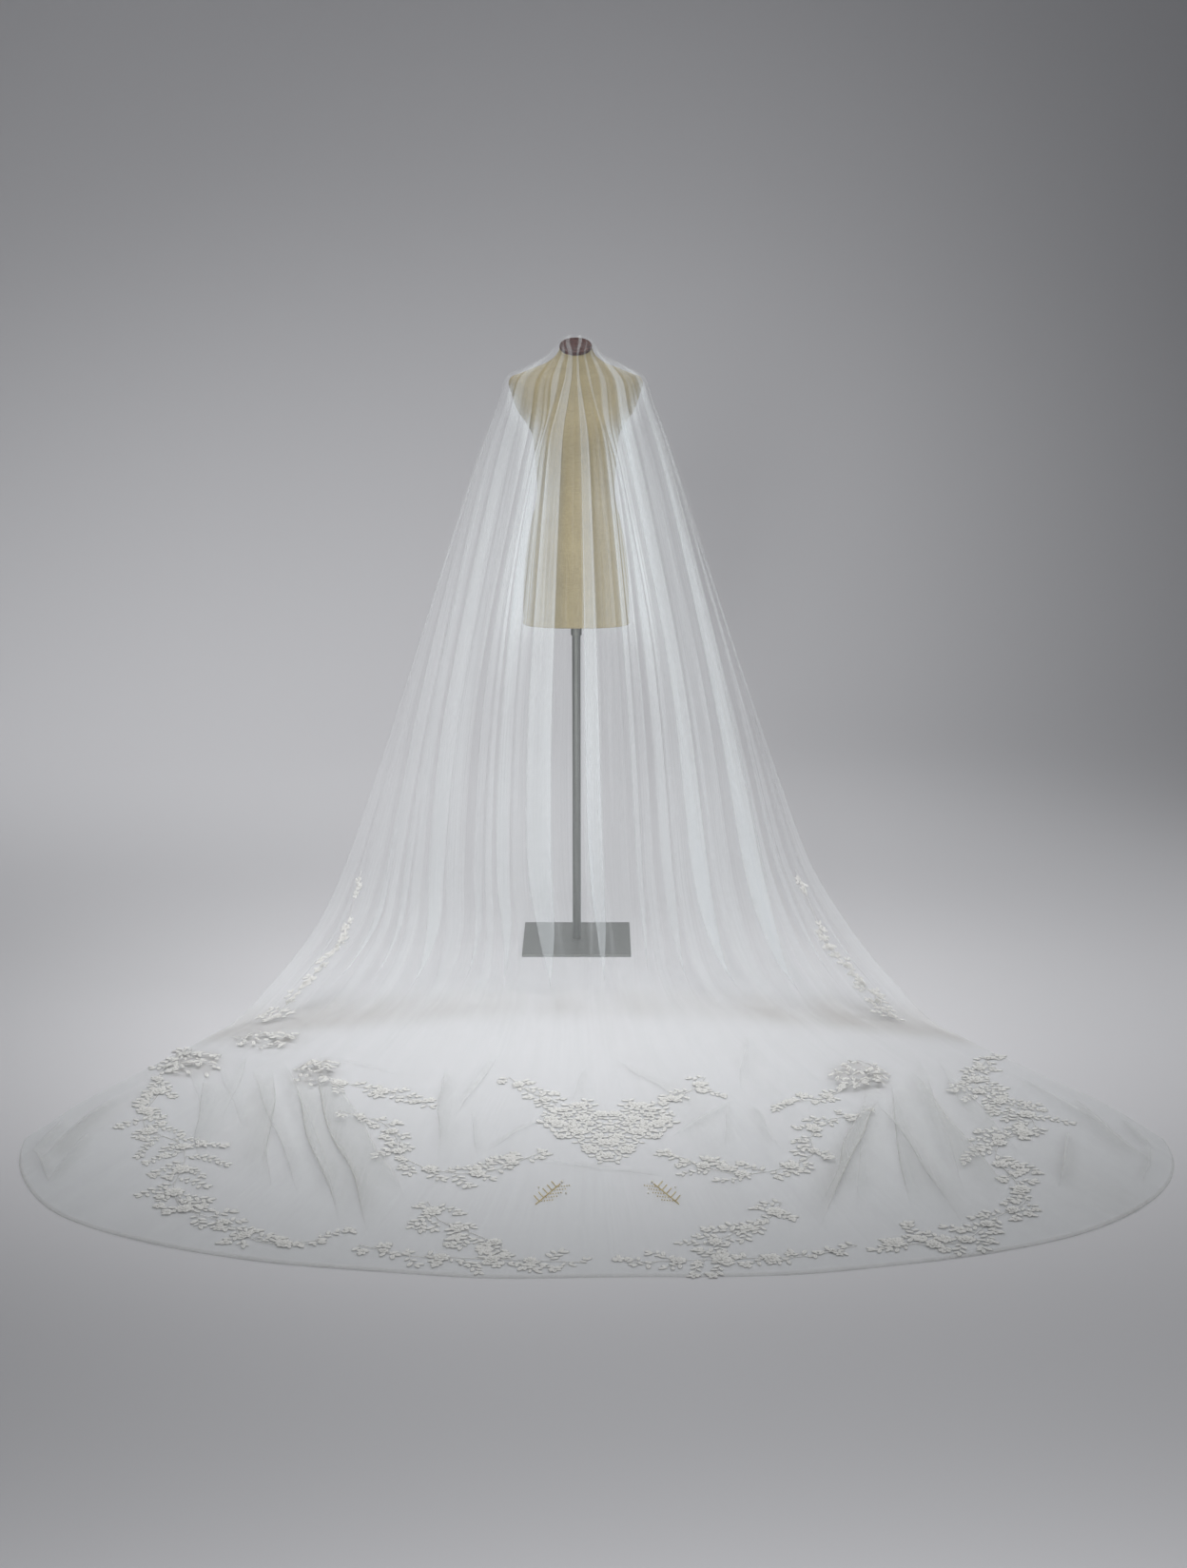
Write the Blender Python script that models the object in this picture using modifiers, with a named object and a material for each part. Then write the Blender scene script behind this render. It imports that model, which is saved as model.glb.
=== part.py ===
"""Bridal veil of soft tulle with lace garlands, draped over a dress form on a steel stand.

Metres, +Z up. The origin is on the floor under the middle of the stand's plate. The train lies
towards -Y, and +X is to the right of somebody who looks along +Y at the front of the form.
"""
import math

import bmesh
import bpy
from mathutils import Matrix, Vector

GAP = 0.0003                # clearance kept between touching pieces

# Stand
PLATE_SIDE = 0.320
PLATE_THICK = 0.006
EDGE_EASE = 0.0012          # bevel of the plate's and the collar's edges
POLE_RADIUS = 0.0122
COLLAR_RADIUS = 0.0158
COLLAR_HEIGHT = 0.036
FORM_BOTTOM = 0.964

# Dress form, a row for each level: height, half width, front, back, squareness, lean of the ring
FORM_LEVELS = [
    dict(z=0.9640, half=0.153, front=-0.100, back=0.095, square=2.6, lean=0),
    dict(z=1.0500, half=0.152, front=-0.104, back=0.103, square=2.5, lean=0),
    dict(z=1.1500, half=0.147, front=-0.106, back=0.109, square=2.4, lean=0),
    dict(z=1.2500, half=0.130, front=-0.098, back=0.096, square=2.3, lean=0),
    dict(z=1.3450, half=0.110, front=-0.089, back=0.079, square=2.2, lean=0),
    dict(z=1.4300, half=0.115, front=-0.106, back=0.087, square=2.2, lean=0),
    dict(z=1.5000, half=0.122, front=-0.127, back=0.097, square=2.2, lean=0),
    dict(z=1.5350, half=0.138, front=-0.124, back=0.100, square=2.2, lean=0),
    dict(z=1.5750, half=0.166, front=-0.110, back=0.098, square=2.2, lean=0),
    dict(z=1.6200, half=0.182, front=-0.092, back=0.090, square=2.2, lean=0),
    dict(z=1.6480, half=0.190, front=-0.078, back=0.078, square=2.2, lean=0),
    dict(z=1.6640, half=0.184, front=-0.069, back=0.069, square=2.2, lean=0),
    dict(z=1.6780, half=0.150, front=-0.061, back=0.061, square=2.1, lean=0),
    dict(z=1.6910, half=0.118, front=-0.056, back=0.055, square=2.0, lean=0),
    dict(z=1.7040, half=0.084, front=-0.053, back=0.050, square=2.0, lean=4),
    dict(z=1.7200, half=0.060, front=-0.051, back=0.046, square=2.0, lean=12),
    dict(z=1.7360, half=0.048, front=-0.050, back=0.042, square=2.0, lean=20),
    dict(z=1.7450, half=0.0455, front=-0.050, back=0.041, square=2.0, lean=26),
]
FORM_COLUMNS = 32
CAP_RADIUS = 0.0455
CAP_THICK = 0.010
CAP_LEAN = math.radians(26)

# Tulle, a row for each section from the gathered heading down to the hem. The section runs from
# the left side edge (u = -1) over the front (u = 0) to the right side edge (u = 1).
# steps: how many rows of faces lie between this section and the next
# shift: middle of the section in x; half: half its width
# front_y, front_z: at the middle; edge_y, edge_z: at the side edges
# square: 2 is an ellipse, more is squarer; flat: 0 wraps round, 1 lies as a shallow arc
# pleat: height of the pleats; wall: thickness; floor: 1 where the underside lies on the floor
SECTIONS = [
    dict(name="heading", steps=1, shift=0.000, half=0.046, front_y=0.0620, edge_y=0.0620, front_z=1.7420,
         edge_z=1.7420, square=2.0, flat=0.0, pleat=0.0008, wall=0.0015, floor=0),
    dict(name="back_rim", steps=1, shift=0.000, half=0.056, front_y=0.0450, edge_y=0.0560, front_z=1.7790,
         edge_z=1.7240, square=2.6, flat=0.0, pleat=0.0011, wall=0.0016, floor=0),
    dict(name="cap_middle", steps=1, shift=0.000, half=0.066, front_y=-0.0060, edge_y=0.0480, front_z=1.7640,
         edge_z=1.7120, square=3.0, flat=0.0, pleat=0.0014, wall=0.0018, floor=0),
    dict(name="front_rim", steps=1, shift=0.000, half=0.092, front_y=-0.0580, edge_y=0.0400, front_z=1.7380,
         edge_z=1.7030, square=2.5, flat=0.0, pleat=0.0020, wall=0.0020, floor=0),
    dict(name="neck_base", steps=2, shift=0.000, half=0.138, front_y=-0.0660, edge_y=0.0300, front_z=1.7030,
         edge_z=1.6900, square=2.3, flat=0.0, pleat=0.0030, wall=0.0024, floor=0),
    dict(name="shoulder", steps=1, shift=0.000, half=0.190, front_y=-0.0900, edge_y=0.0120, front_z=1.6500,
         edge_z=1.6640, square=2.2, flat=0.0, pleat=0.0040, wall=0.0028, floor=0),
    dict(name="armhole", steps=1, shift=0.000, half=0.214, front_y=-0.1280, edge_y=-0.0050, front_z=1.5700,
         edge_z=1.5950, square=2.1, flat=0.0, pleat=0.0060, wall=0.0030, floor=0),
    dict(name="bust", steps=2, shift=0.000, half=0.252, front_y=-0.1420, edge_y=-0.0280, front_z=1.4700,
         edge_z=1.4900, square=2.0, flat=0.0, pleat=0.0095, wall=0.0030, floor=0),
    dict(name="hip", steps=1, shift=0.000, half=0.355, front_y=-0.2200, edge_y=-0.0920, front_z=1.1700,
         edge_z=1.1800, square=2.0, flat=0.1, pleat=0.0150, wall=0.0030, floor=0),
    dict(name="knee", steps=1, shift=0.000, half=0.484, front_y=-0.3180, edge_y=-0.1820, front_z=0.7900,
         edge_z=0.8000, square=2.0, flat=0.3, pleat=0.0190, wall=0.0030, floor=0),
    dict(name="shin", steps=1, shift=0.002, half=0.570, front_y=-0.3840, edge_y=-0.2480, front_z=0.5400,
         edge_z=0.5400, square=2.0, flat=0.5, pleat=0.0200, wall=0.0030, floor=0),
    dict(name="flare", steps=1, shift=0.008, half=0.650, front_y=-0.4380, edge_y=-0.3300, front_z=0.3300,
         edge_z=0.3300, square=2.0, flat=0.7, pleat=0.0190, wall=0.0030, floor=0),
    dict(name="sweep", steps=1, shift=0.020, half=0.738, front_y=-0.4740, edge_y=-0.4600, front_z=0.1700,
         edge_z=0.1900, square=2.0, flat=0.9, pleat=0.0160, wall=0.0030, floor=0),
    dict(name="landing", steps=1, shift=0.022, half=0.845, front_y=-0.5080, edge_y=-0.6200, front_z=0.0600,
         edge_z=0.0800, square=2.0, flat=1.0, pleat=0.0110, wall=0.0028, floor=0.4),
    dict(name="touchdown", steps=2, shift=0.026, half=0.965, front_y=-0.5800, edge_y=-0.7900, front_z=0.0000,
         edge_z=0.0000, square=2.0, flat=1.0, pleat=0.0070, wall=0.0022, floor=1),
    dict(name="flattened", steps=3, shift=0.036, half=1.110, front_y=-0.9400, edge_y=-1.0500, front_z=0.0000,
         edge_z=0.0000, square=2.0, flat=0.9, pleat=0.0000, wall=0.0020, floor=1),
    dict(name="train", steps=5, shift=0.048, half=1.250, front_y=-1.4500, edge_y=-1.3000, front_z=0.0000,
         edge_z=0.0000, square=2.2, flat=0.6, pleat=0.0000, wall=0.0020, floor=1),
    dict(name="hem", steps=0, shift=0.055, half=1.325, front_y=-2.2050, edge_y=-1.5000, front_z=0.0000,
         edge_z=0.0000, square=2.35, flat=0.0, pleat=0.0000, wall=0.0020, floor=1),
]
PLEATS = 24
COLUMNS_A_PLEAT = 4
REST_CLEAR = 0.0042         # between the tulle's inner skin and the form where it lies on it

# Long folds that lie raised on the floor: start, end, height and half width of each
FOLDS = [
    dict(start=(-0.84, -0.88), end=(-0.60, -1.86), height=0.014, half=0.075),
    dict(start=(-0.68, -0.92), end=(-0.50, -2.00), height=0.011, half=0.065),
    dict(start=(-1.18, -1.30), end=(-1.14, -1.80), height=0.007, half=0.060),
    dict(start=(0.88, -0.88), end=(0.72, -1.96), height=0.014, half=0.075),
    dict(start=(0.76, -0.96), end=(0.62, -2.02), height=0.010, half=0.065),
    dict(start=(1.29, -1.32), end=(1.24, -1.82), height=0.007, half=0.060),
    dict(start=(-0.24, -0.72), end=(-0.30, -1.20), height=0.010, half=0.060),
    dict(start=(0.44, -0.72), end=(0.42, -1.24), height=0.010, half=0.060),
]

# Lace garlands that lie on the train: the route of each stem, and its scale
GARLANDS = [
    dict(name="lace_outer_left", scale=1.00, route=[(-0.99, -0.92), (-1.04, -1.08), (-1.04, -1.22), (-1.06, -1.36),
         (-1.00, -1.46), (-0.91, -1.54), (-0.87, -1.66), (-0.88, -1.78), (-0.84, -1.87), (-0.74, -1.95),
         (-0.66, -2.04), (-0.55, -2.06)]),
    dict(name="lace_outer_right", scale=1.00, route=[(1.08, -0.95), (1.02, -1.08), (1.00, -1.20), (1.10, -1.32),
         (1.10, -1.44), (0.99, -1.52), (0.95, -1.62), (1.00, -1.74), (1.00, -1.84), (0.91, -1.93),
         (0.82, -2.04), (0.70, -2.07)]),
    dict(name="lace_hem_left", scale=0.95, route=[(-0.44, -2.05), (-0.33, -2.10), (-0.22, -2.13), (-0.08, -2.13),
         (0.04, -2.14)]),
    dict(name="lace_hem_right", scale=0.95, route=[(0.60, -2.05), (0.49, -2.10), (0.37, -2.13), (0.24, -2.13),
         (0.12, -2.14)]),
    dict(name="lace_rise_left", scale=0.80, route=[(-0.33, -1.84), (-0.29, -1.92), (-0.23, -1.99), (-0.15, -2.04)]),
    dict(name="lace_rise_right", scale=0.80, route=[(0.48, -1.84), (0.43, -1.92), (0.37, -1.99), (0.30, -2.04)]),
    dict(name="lace_inner_left", scale=0.85, route=[(-0.56, -1.36), (-0.46, -1.40), (-0.42, -1.50), (-0.42, -1.60),
         (-0.33, -1.67), (-0.23, -1.70), (-0.15, -1.65), (-0.08, -1.58)]),
    dict(name="lace_inner_right", scale=0.85, route=[(0.72, -1.36), (0.61, -1.39), (0.56, -1.49), (0.57, -1.59),
         (0.48, -1.67), (0.38, -1.70), (0.30, -1.65), (0.23, -1.58)]),
    dict(name="lace_spray_left", scale=0.85, route=[(-0.63, -1.13), (-0.53, -1.18), (-0.44, -1.23), (-0.36, -1.29)]),
    dict(name="lace_spray_right", scale=0.85, route=[(0.79, -1.13), (0.69, -1.18), (0.60, -1.24), (0.50, -1.29)]),
    dict(name="lace_arm_left", scale=0.75, route=[(-0.17, -1.12), (-0.13, -1.21), (-0.06, -1.28)]),
    dict(name="lace_arm_right", scale=0.75, route=[(0.33, -1.12), (0.29, -1.21), (0.22, -1.28)]),
]
# One repeat of a garland, a row for each station: place along it, reach of the lace to the left
# and right of the stem, how far a tip leans on, and how high the middle stands
GARLAND_REPEAT = [
    dict(along=0.000, left=0.014, right=0.014, lean=0.000, rise=0.0008),
    dict(along=0.024, left=0.046, right=0.016, lean=0.008, rise=0.0012),
    dict(along=0.044, left=0.058, right=0.030, lean=0.016, rise=0.0012),
    dict(along=0.060, left=0.018, right=0.056, lean=0.010, rise=0.0012),
    dict(along=0.084, left=0.016, right=0.018, lean=0.000, rise=0.0010),
    dict(along=0.104, left=0.050, right=0.044, lean=-0.004, rise=0.0022),
    dict(along=0.124, left=0.038, right=0.040, lean=0.000, rise=0.0034),
    dict(along=0.142, left=0.060, right=0.058, lean=0.000, rise=0.0042),
    dict(along=0.160, left=0.040, right=0.038, lean=0.000, rise=0.0034),
    dict(along=0.180, left=0.046, right=0.050, lean=0.004, rise=0.0022),
    dict(along=0.200, left=0.014, right=0.014, lean=0.000, rise=0.0008),
]
LACE_THICK = 0.0012
LACE_FLOOR = 0.0020 + GAP   # underside of the lace on the flat part of the tulle
LACE_MARGIN = 0.205         # no fold rises nearer than this to a garland's stem

# Centre spray, a row for each point of its left half: angle from straight back, reach
SPRAY_MIDDLE = (0.08, -1.44)
SPRAY_HALF = [
    dict(angle=0, reach=0.140), dict(angle=14, reach=0.175), dict(angle=27, reach=0.120),
    dict(angle=42, reach=0.170), dict(angle=56, reach=0.118), dict(angle=72, reach=0.165),
    dict(angle=88, reach=0.112), dict(angle=104, reach=0.156), dict(angle=120, reach=0.108),
    dict(angle=136, reach=0.166), dict(angle=152, reach=0.126), dict(angle=168, reach=0.200),
    dict(angle=180, reach=0.222),
]
SPRAY_RISE = 0.0040

# Lace that climbs the side edges of the tulle: columns from the edge, and rows, that it covers
EDGE_LACE_COLUMNS = (3, 8)
EDGE_LACE_FROM, EDGE_LACE_TO = "flare", "touchdown"

# Heading
BAND_WIDTH, BAND_HEIGHT, BAND_THICK = 0.098, 0.012, 0.005
BAND_BELOW, BAND_BEHIND = 0.0012, 0.001     # from the middle of the tulle's gathered edge
COMB_WIDTH, COMB_LENGTH, COMB_THICK = 0.070, 0.032, 0.0016
COMB_SPINE, COMB_TEETH, COMB_TOOTH = 0.007, 14, 0.0022


def new_collection(name):
    made = bpy.data.collections.new(name)
    bpy.context.scene.collection.children.link(made)
    return made


def material(name, colour, rough, metal=0.0):
    made = bpy.data.materials.new(name)
    made.use_nodes = True
    shader = made.node_tree.nodes["Principled BSDF"]
    shader.inputs["Base Color"].default_value = (*colour, 1)
    shader.inputs["Roughness"].default_value = rough
    shader.inputs["Metallic"].default_value = metal
    return made


def add_object(name, mesh, finish, collection):
    made = bpy.data.objects.new(name, mesh)
    mesh.materials.append(finish)
    collection.objects.link(made)
    return made


def mesh_from(name, points, faces, smooth=True):
    """A closed mesh whose faces are turned to point out."""
    mesh = bpy.data.meshes.new(name)
    mesh.from_pydata([tuple(p) for p in points], [], faces)
    work = bmesh.new()
    work.from_mesh(mesh)
    bmesh.ops.recalc_face_normals(work, faces=work.faces)
    work.to_mesh(mesh)
    work.free()
    if smooth:
        mesh.shade_smooth()
        mesh.set_sharp_from_angle(angle=math.radians(40))
    return mesh


def steady(values):
    """Slopes for a curve through evenly spaced values that never overshoots them."""
    steps = [b - a for a, b in zip(values, values[1:])]
    slopes = [steps[0]]
    for before, after in zip(steps, steps[1:]):
        slopes.append(0.0 if before * after <= 0 else 2 * before * after / (before + after))
    return slopes + [steps[-1]]


def read_between(values, slopes, place):
    """The value at a place counted in rows of the table."""
    row = min(int(place), len(values) - 2)
    t = place - row
    a, b = values[row], values[row + 1]
    return ((2 * t ** 3 - 3 * t ** 2 + 1) * a + (t ** 3 - 2 * t ** 2 + t) * slopes[row]
            + (3 * t ** 2 - 2 * t ** 3) * b + (t ** 3 - t ** 2) * slopes[row + 1])


class Table:
    """Rows of named sizes, read smoothly at any place between the rows."""

    def __init__(self, rows):
        self.rows = rows
        self.keys = [k for k, v in rows[0].items() if not isinstance(v, str)]
        self.slopes = {k: steady([r[k] for r in rows]) for k in self.keys}

    def at(self, place):
        return {k: read_between([r[k] for r in self.rows], self.slopes[k], place) for k in self.keys}

    def place_of(self, key, value):
        """Where a rising column takes a value."""
        for row in range(len(self.rows) - 1):
            a, b = self.rows[row][key], self.rows[row + 1][key]
            if a <= value <= b:
                return row + (value - a) / (b - a)
        return None


FORM = Table(FORM_LEVELS)
VEIL = Table(SECTIONS)


def power(value, exponent):
    return math.copysign(abs(value) ** exponent, value)


def form_ring(level):
    """Points round the form at a level, turned forward by the level's lean."""
    middle, depth = (level["front"] + level["back"]) / 2, (level["back"] - level["front"]) / 2
    lean = math.radians(level["lean"])
    ring = []
    for step in range(FORM_COLUMNS):
        angle = 2 * math.pi * step / FORM_COLUMNS
        x = level["half"] * power(math.cos(angle), 2 / level["square"])
        away = depth * power(math.sin(angle), 2 / level["square"])
        ring.append(Vector((x, middle + away * math.cos(lean), level["z"] + away * math.sin(lean))))
    return ring


def push_clear(point, clear):
    """Moves a point of the cloth out of the form, level with itself."""
    place = FORM.place_of("z", point.z)
    if place is None:
        return point
    level = FORM.at(place)
    middle, depth = (level["front"] + level["back"]) / 2, (level["back"] - level["front"]) / 2
    x, y = point.x / (level["half"] + clear), (point.y - middle) / (depth + clear)
    reach = (abs(x) ** level["square"] + abs(y) ** level["square"]) ** (1 / level["square"])
    if reach >= 1:
        return point
    return Vector((point.x / reach, middle + (point.y - middle) / reach, point.z))


def drape(u, place):
    """The smooth form of the tulle, before its pleats."""
    s = VEIL.at(place)
    angle = u * math.pi / 2
    across = (1 - s["flat"]) * power(math.sin(angle), 2 / s["square"]) + s["flat"] * u
    round_part = 1 - max(math.cos(angle), 0.0) ** (2 / s["square"])
    back = (1 - s["flat"]) * round_part + s["flat"] * u * u
    point = Vector((s["shift"] + s["half"] * across,
                    s["front_y"] + (s["edge_y"] - s["front_y"]) * back,
                    s["front_z"] + (s["edge_z"] - s["front_z"]) * back))
    return push_clear(point, REST_CLEAR) if s["floor"] < 1 else point


def outward(u, place):
    """The side of the smooth form that faces away from the stand, or up on the floor."""
    small = 0.01
    u0, u1 = max(u - small, -1), min(u + small, 1)
    p0, p1 = max(place - small, 0), min(place + small, len(SECTIONS) - 1)
    across = drape(u1, place) - drape(u0, place)
    down = drape(u, p1) - drape(u, p0)
    return across.cross(down).normalized() * -1


def pleat_height(u, place, size):
    """Height of the pleats over the smooth form, uneven from one pleat to the next."""
    turn = (u + 1) / 2 * PLEATS
    pleat = math.floor(turn)
    uneven = 0.72 + 0.28 * math.sin(2.4 * pleat + 0.6 * place)
    return size * uneven * (1 - math.cos(2 * math.pi * turn)) / 2


def to_line(point, a, b):
    """Distance from a point of the plan to a straight stretch, and the share of it gone by then."""
    ax, ay, bx, by = a[0], a[1], b[0], b[1]
    dx, dy = bx - ax, by - ay
    t = ((point[0] - ax) * dx + (point[1] - ay) * dy) / (dx * dx + dy * dy)
    t = min(max(t, 0.0), 1.0)
    return math.hypot(point[0] - ax - t * dx, point[1] - ay - t * dy), t


def near_lace(x, y):
    """True where the tulle is kept flat under the lace."""
    routes = [g["route"] for g in GARLANDS]
    nearest = min(to_line((x, y), a, b)[0] for route in routes for a, b in zip(route, route[1:]))
    centre = math.hypot(x - SPRAY_MIDDLE[0], y - SPRAY_MIDDLE[1])
    return nearest < LACE_MARGIN or centre < LACE_MARGIN + 0.15


def lying_height(x, y, pleats):
    """Height of the pleats and the long folds where the tulle lies on the floor."""
    if near_lace(x, y):
        return 0.0
    total = pleats
    for fold in FOLDS:
        away, gone = to_line((x, y), fold["start"], fold["end"])
        if away < fold["half"]:
            ends = min(1.0, 5 * gone, 5 * (1 - gone))
            total = max(total, fold["height"] * ends * math.cos(math.pi / 2 * away / fold["half"]) ** 2)
    return total


def row_places():
    places = []
    for row, section in enumerate(SECTIONS[:-1]):
        places += [row + k / section["steps"] for k in range(section["steps"])]
    return places + [len(SECTIONS) - 1]


def tulle_points():
    """Rows of inner and outer points, from the heading down to the hem."""
    columns = PLEATS * COLUMNS_A_PLEAT
    inner, outer = [], []
    for place in row_places():
        s = VEIL.at(place)
        floor = min(max(s["floor"], 0), 1)
        inner_row, outer_row = [], []
        for column in range(columns + 1):
            u = 2 * column / columns - 1
            base = drape(u, place)
            side = Vector((0, 0, 1)) if floor >= 1 else outward(u, place)
            height = pleat_height(u, place, s["pleat"])
            if floor >= 1:
                height = lying_height(base.x, base.y, height)
            inner_row.append(base + side * height * (1 - floor))
            outer_row.append(base + side * (height + s["wall"]))
        inner.append(inner_row)
        outer.append(outer_row)
    return inner, outer


def wall_mesh(name, inner, outer):
    """A closed wall between two like grids of points."""
    rows, columns = len(inner), len(inner[0])
    points = [p for row in inner for p in row] + [p for row in outer for p in row]
    far = rows * columns
    faces, sides = [], set()
    for r in range(rows - 1):
        for c in range(columns - 1):
            a, b = r * columns + c, r * columns + c + 1
            d, e = a + columns, b + columns
            faces += [(a, b, e), (a, e, d), (far + a, far + e, far + b), (far + a, far + d, far + e)]
            for side in ((a, b), (b, e), (e, d), (d, a)):
                if side[::-1] in sides:
                    sides.remove(side[::-1])
                else:
                    sides.add(side)
    faces += [(b, a, far + a, far + b) for a, b in sorted(sides)]
    return mesh_from(name, points, faces)


def build_tulle(finish, collection):
    inner, outer = tulle_points()
    add_object("tulle", wall_mesh("tulle", inner, outer), finish, collection)
    return outer


def stem_points(route):
    """Points and directions along a smooth stem through a route, with their distances."""
    ends = [2 * Vector(route[0]) - Vector(route[1])] + [Vector(p) for p in route]
    ends.append(2 * Vector(route[-1]) - Vector(route[-2]))
    fine = []
    for a, b, c, d in zip(ends, ends[1:], ends[2:], ends[3:]):
        for k in range(12):
            t = k / 12
            fine.append(0.5 * (2 * b + (c - a) * t + (2 * a - 5 * b + 4 * c - d) * t * t
                               + (3 * b - a - 3 * c + d) * t ** 3))
    fine.append(Vector(route[-1]))
    lengths = [0.0]
    for a, b in zip(fine, fine[1:]):
        lengths.append(lengths[-1] + (b - a).length)
    return fine, lengths


def on_stem(fine, lengths, distance):
    """The place and the direction of a stem at a distance from its start."""
    k = 0
    while k < len(lengths) - 2 and lengths[k + 1] < distance:
        k += 1
    share = (distance - lengths[k]) / (lengths[k + 1] - lengths[k])
    before, after = fine[max(k - 2, 0)], fine[min(k + 3, len(fine) - 1)]
    return fine[k] + (fine[k + 1] - fine[k]) * share, (after - before).normalized()


def build_garland(garland, finish, collection):
    """Leaves and flowers on a stem, as one lobed piece that stands higher along its middle."""
    fine, lengths = stem_points(garland["route"])
    repeat = GARLAND_REPEAT[-1]["along"] * garland["scale"]
    repeats = max(1, round(lengths[-1] / repeat))
    stretch = lengths[-1] / (repeats * repeat)
    inner, outer = [], []
    for k in range(repeats):
        last = k == repeats - 1
        for station in GARLAND_REPEAT if last else GARLAND_REPEAT[:-1]:
            along = (k * repeat + station["along"] * garland["scale"]) * stretch
            middle, ahead = on_stem(fine, lengths, along)
            side = Vector((-ahead.y, ahead.x))
            swap = k % 2 == 1
            left = station["right" if swap else "left"] * garland["scale"]
            right = station["left" if swap else "right"] * garland["scale"]
            lean = ahead * station["lean"] * garland["scale"]
            row = [middle + side * left + lean, middle, middle - side * right + lean]
            rises = (0, station["rise"], 0)
            inner.append([Vector((p.x, p.y, LACE_FLOOR)) for p in row])
            outer.append([Vector((p.x, p.y, LACE_FLOOR + LACE_THICK + up)) for p, up in zip(row, rises)])
    name = garland["name"]
    add_object(name, wall_mesh(name, inner, outer), finish, collection)


def build_spray(finish, collection):
    """Heart of petals in the middle of the train, with a ring of open gaps round its flower."""
    half = [(math.radians(p["angle"]), p["reach"]) for p in SPRAY_HALF]
    ring = half + [(2 * math.pi - angle, reach) for angle, reach in half[-2:0:-1]]
    shares = [(0.16, SPRAY_RISE), (0.38, SPRAY_RISE * 0.7), (0.62, SPRAY_RISE * 0.5), (1.0, 0.0)]
    inner, outer = [], []
    for share, up in shares:
        flat = [Vector((SPRAY_MIDDLE[0] - reach * share * math.sin(angle),
                        SPRAY_MIDDLE[1] + reach * share * math.cos(angle), LACE_FLOOR)) for angle, reach in ring]
        inner.append(flat + flat[:1])
        outer.append([p + Vector((0, 0, LACE_THICK + up)) for p in inner[-1]])
    points = [p for row in inner for p in row[:-1]] + [p for row in outer for p in row[:-1]]
    count = len(ring)
    far = len(shares) * count
    faces = [tuple(range(count)), tuple(far + k for k in range(count))]
    outside = (len(shares) - 1) * count
    for r in range(len(shares) - 1):
        for c in range(count):
            n = (c + 1) % count
            a, b, d, e = r * count + c, r * count + n, (r + 1) * count + c, (r + 1) * count + n
            if r == 1 and c % 2 == 1:
                faces += [(a, b, far + b, far + a), (b, e, far + e, far + b), (e, d, far + d, far + e),
                          (d, a, far + a, far + d)]
                continue
            faces += [(a, b, e, d), (far + a, far + d, far + e, far + b)]
    for c in range(count):
        a, b = outside + c, outside + (c + 1) % count
        faces.append((a, b, far + b, far + a))
    add_object("lace_centre_spray", mesh_from("lace_centre_spray", points, faces), finish, collection)


def build_edge_lace(outer, finish, collection):
    """Lace on the climbing side edges: the tulle's own outer points, moved out."""
    names = [s["name"] for s in SECTIONS]
    places = row_places()
    first = places.index(names.index(EDGE_LACE_FROM))
    last = places.index(names.index(EDGE_LACE_TO))
    columns = PLEATS * COLUMNS_A_PLEAT
    near, far = EDGE_LACE_COLUMNS
    for name, picked in (("lace_edge_left", range(near, far + 1)),
                         ("lace_edge_right", range(columns - far, columns - near + 1))):
        low, high = [], []
        for r in range(first, last + 1):
            outs = []
            for c in picked:
                a = outer[r][min(c + 1, columns)] - outer[r][c - 1]
                b = outer[min(r + 1, len(outer) - 1)][c] - outer[r - 1][c]
                outs.append(a.cross(b).normalized() * -1)
            low.append([outer[r][c] + out * 2 * GAP for c, out in zip(picked, outs)])
            high.append([outer[r][c] + out * (2 * GAP + LACE_THICK) for c, out in zip(picked, outs)])
        add_object(name, wall_mesh(name, low, high), finish, collection)


def build_heading(ribbon, plastic, collection):
    """Ribbon band under the gathered edge, and the comb that is sewn to it."""
    top = SECTIONS[0]
    bpy.ops.mesh.primitive_cube_add(size=1)
    band = bpy.context.object
    band.name = band.data.name = "heading_band"
    band.data.transform(Matrix.Diagonal((BAND_WIDTH, BAND_THICK, BAND_HEIGHT, 1)))
    band_top = top["front_z"] - BAND_BELOW
    band.location = (0, top["front_y"] + BAND_BEHIND, band_top - BAND_HEIGHT / 2)
    rounding = band.modifiers.new("soft edges", "BEVEL")
    rounding.width = 0.001
    rounding.segments = 1
    finish_primitive(band, ribbon, collection)

    pitch = (COMB_WIDTH - COMB_TOOTH) / (COMB_TEETH - 1)
    outline = [(-COMB_WIDTH / 2, 0), (COMB_WIDTH / 2, 0)]
    for tooth in range(COMB_TEETH - 1, -1, -1):
        left = -COMB_WIDTH / 2 + tooth * pitch
        outline += [(left + COMB_TOOTH, -COMB_SPINE), (left + COMB_TOOTH * 0.75, -COMB_LENGTH),
                    (left + COMB_TOOTH * 0.25, -COMB_LENGTH), (left, -COMB_SPINE)]
    curve = bpy.data.curves.new("comb", "CURVE")
    curve.dimensions = "2D"
    curve.fill_mode = "BOTH"
    curve.extrude = COMB_THICK / 2
    spline = curve.splines.new("POLY")
    spline.points.add(len(outline) - 1)
    for point, (x, y) in zip(spline.points, outline):
        point.co = (x, y, 0, 1)
    spline.use_cyclic_u = True
    comb = add_object("comb", curve, plastic, collection)
    comb.rotation_euler = (math.radians(90), 0, 0)
    comb.location = (0, band.location.y - BAND_THICK / 2 - GAP - COMB_THICK / 2, band_top)


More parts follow.
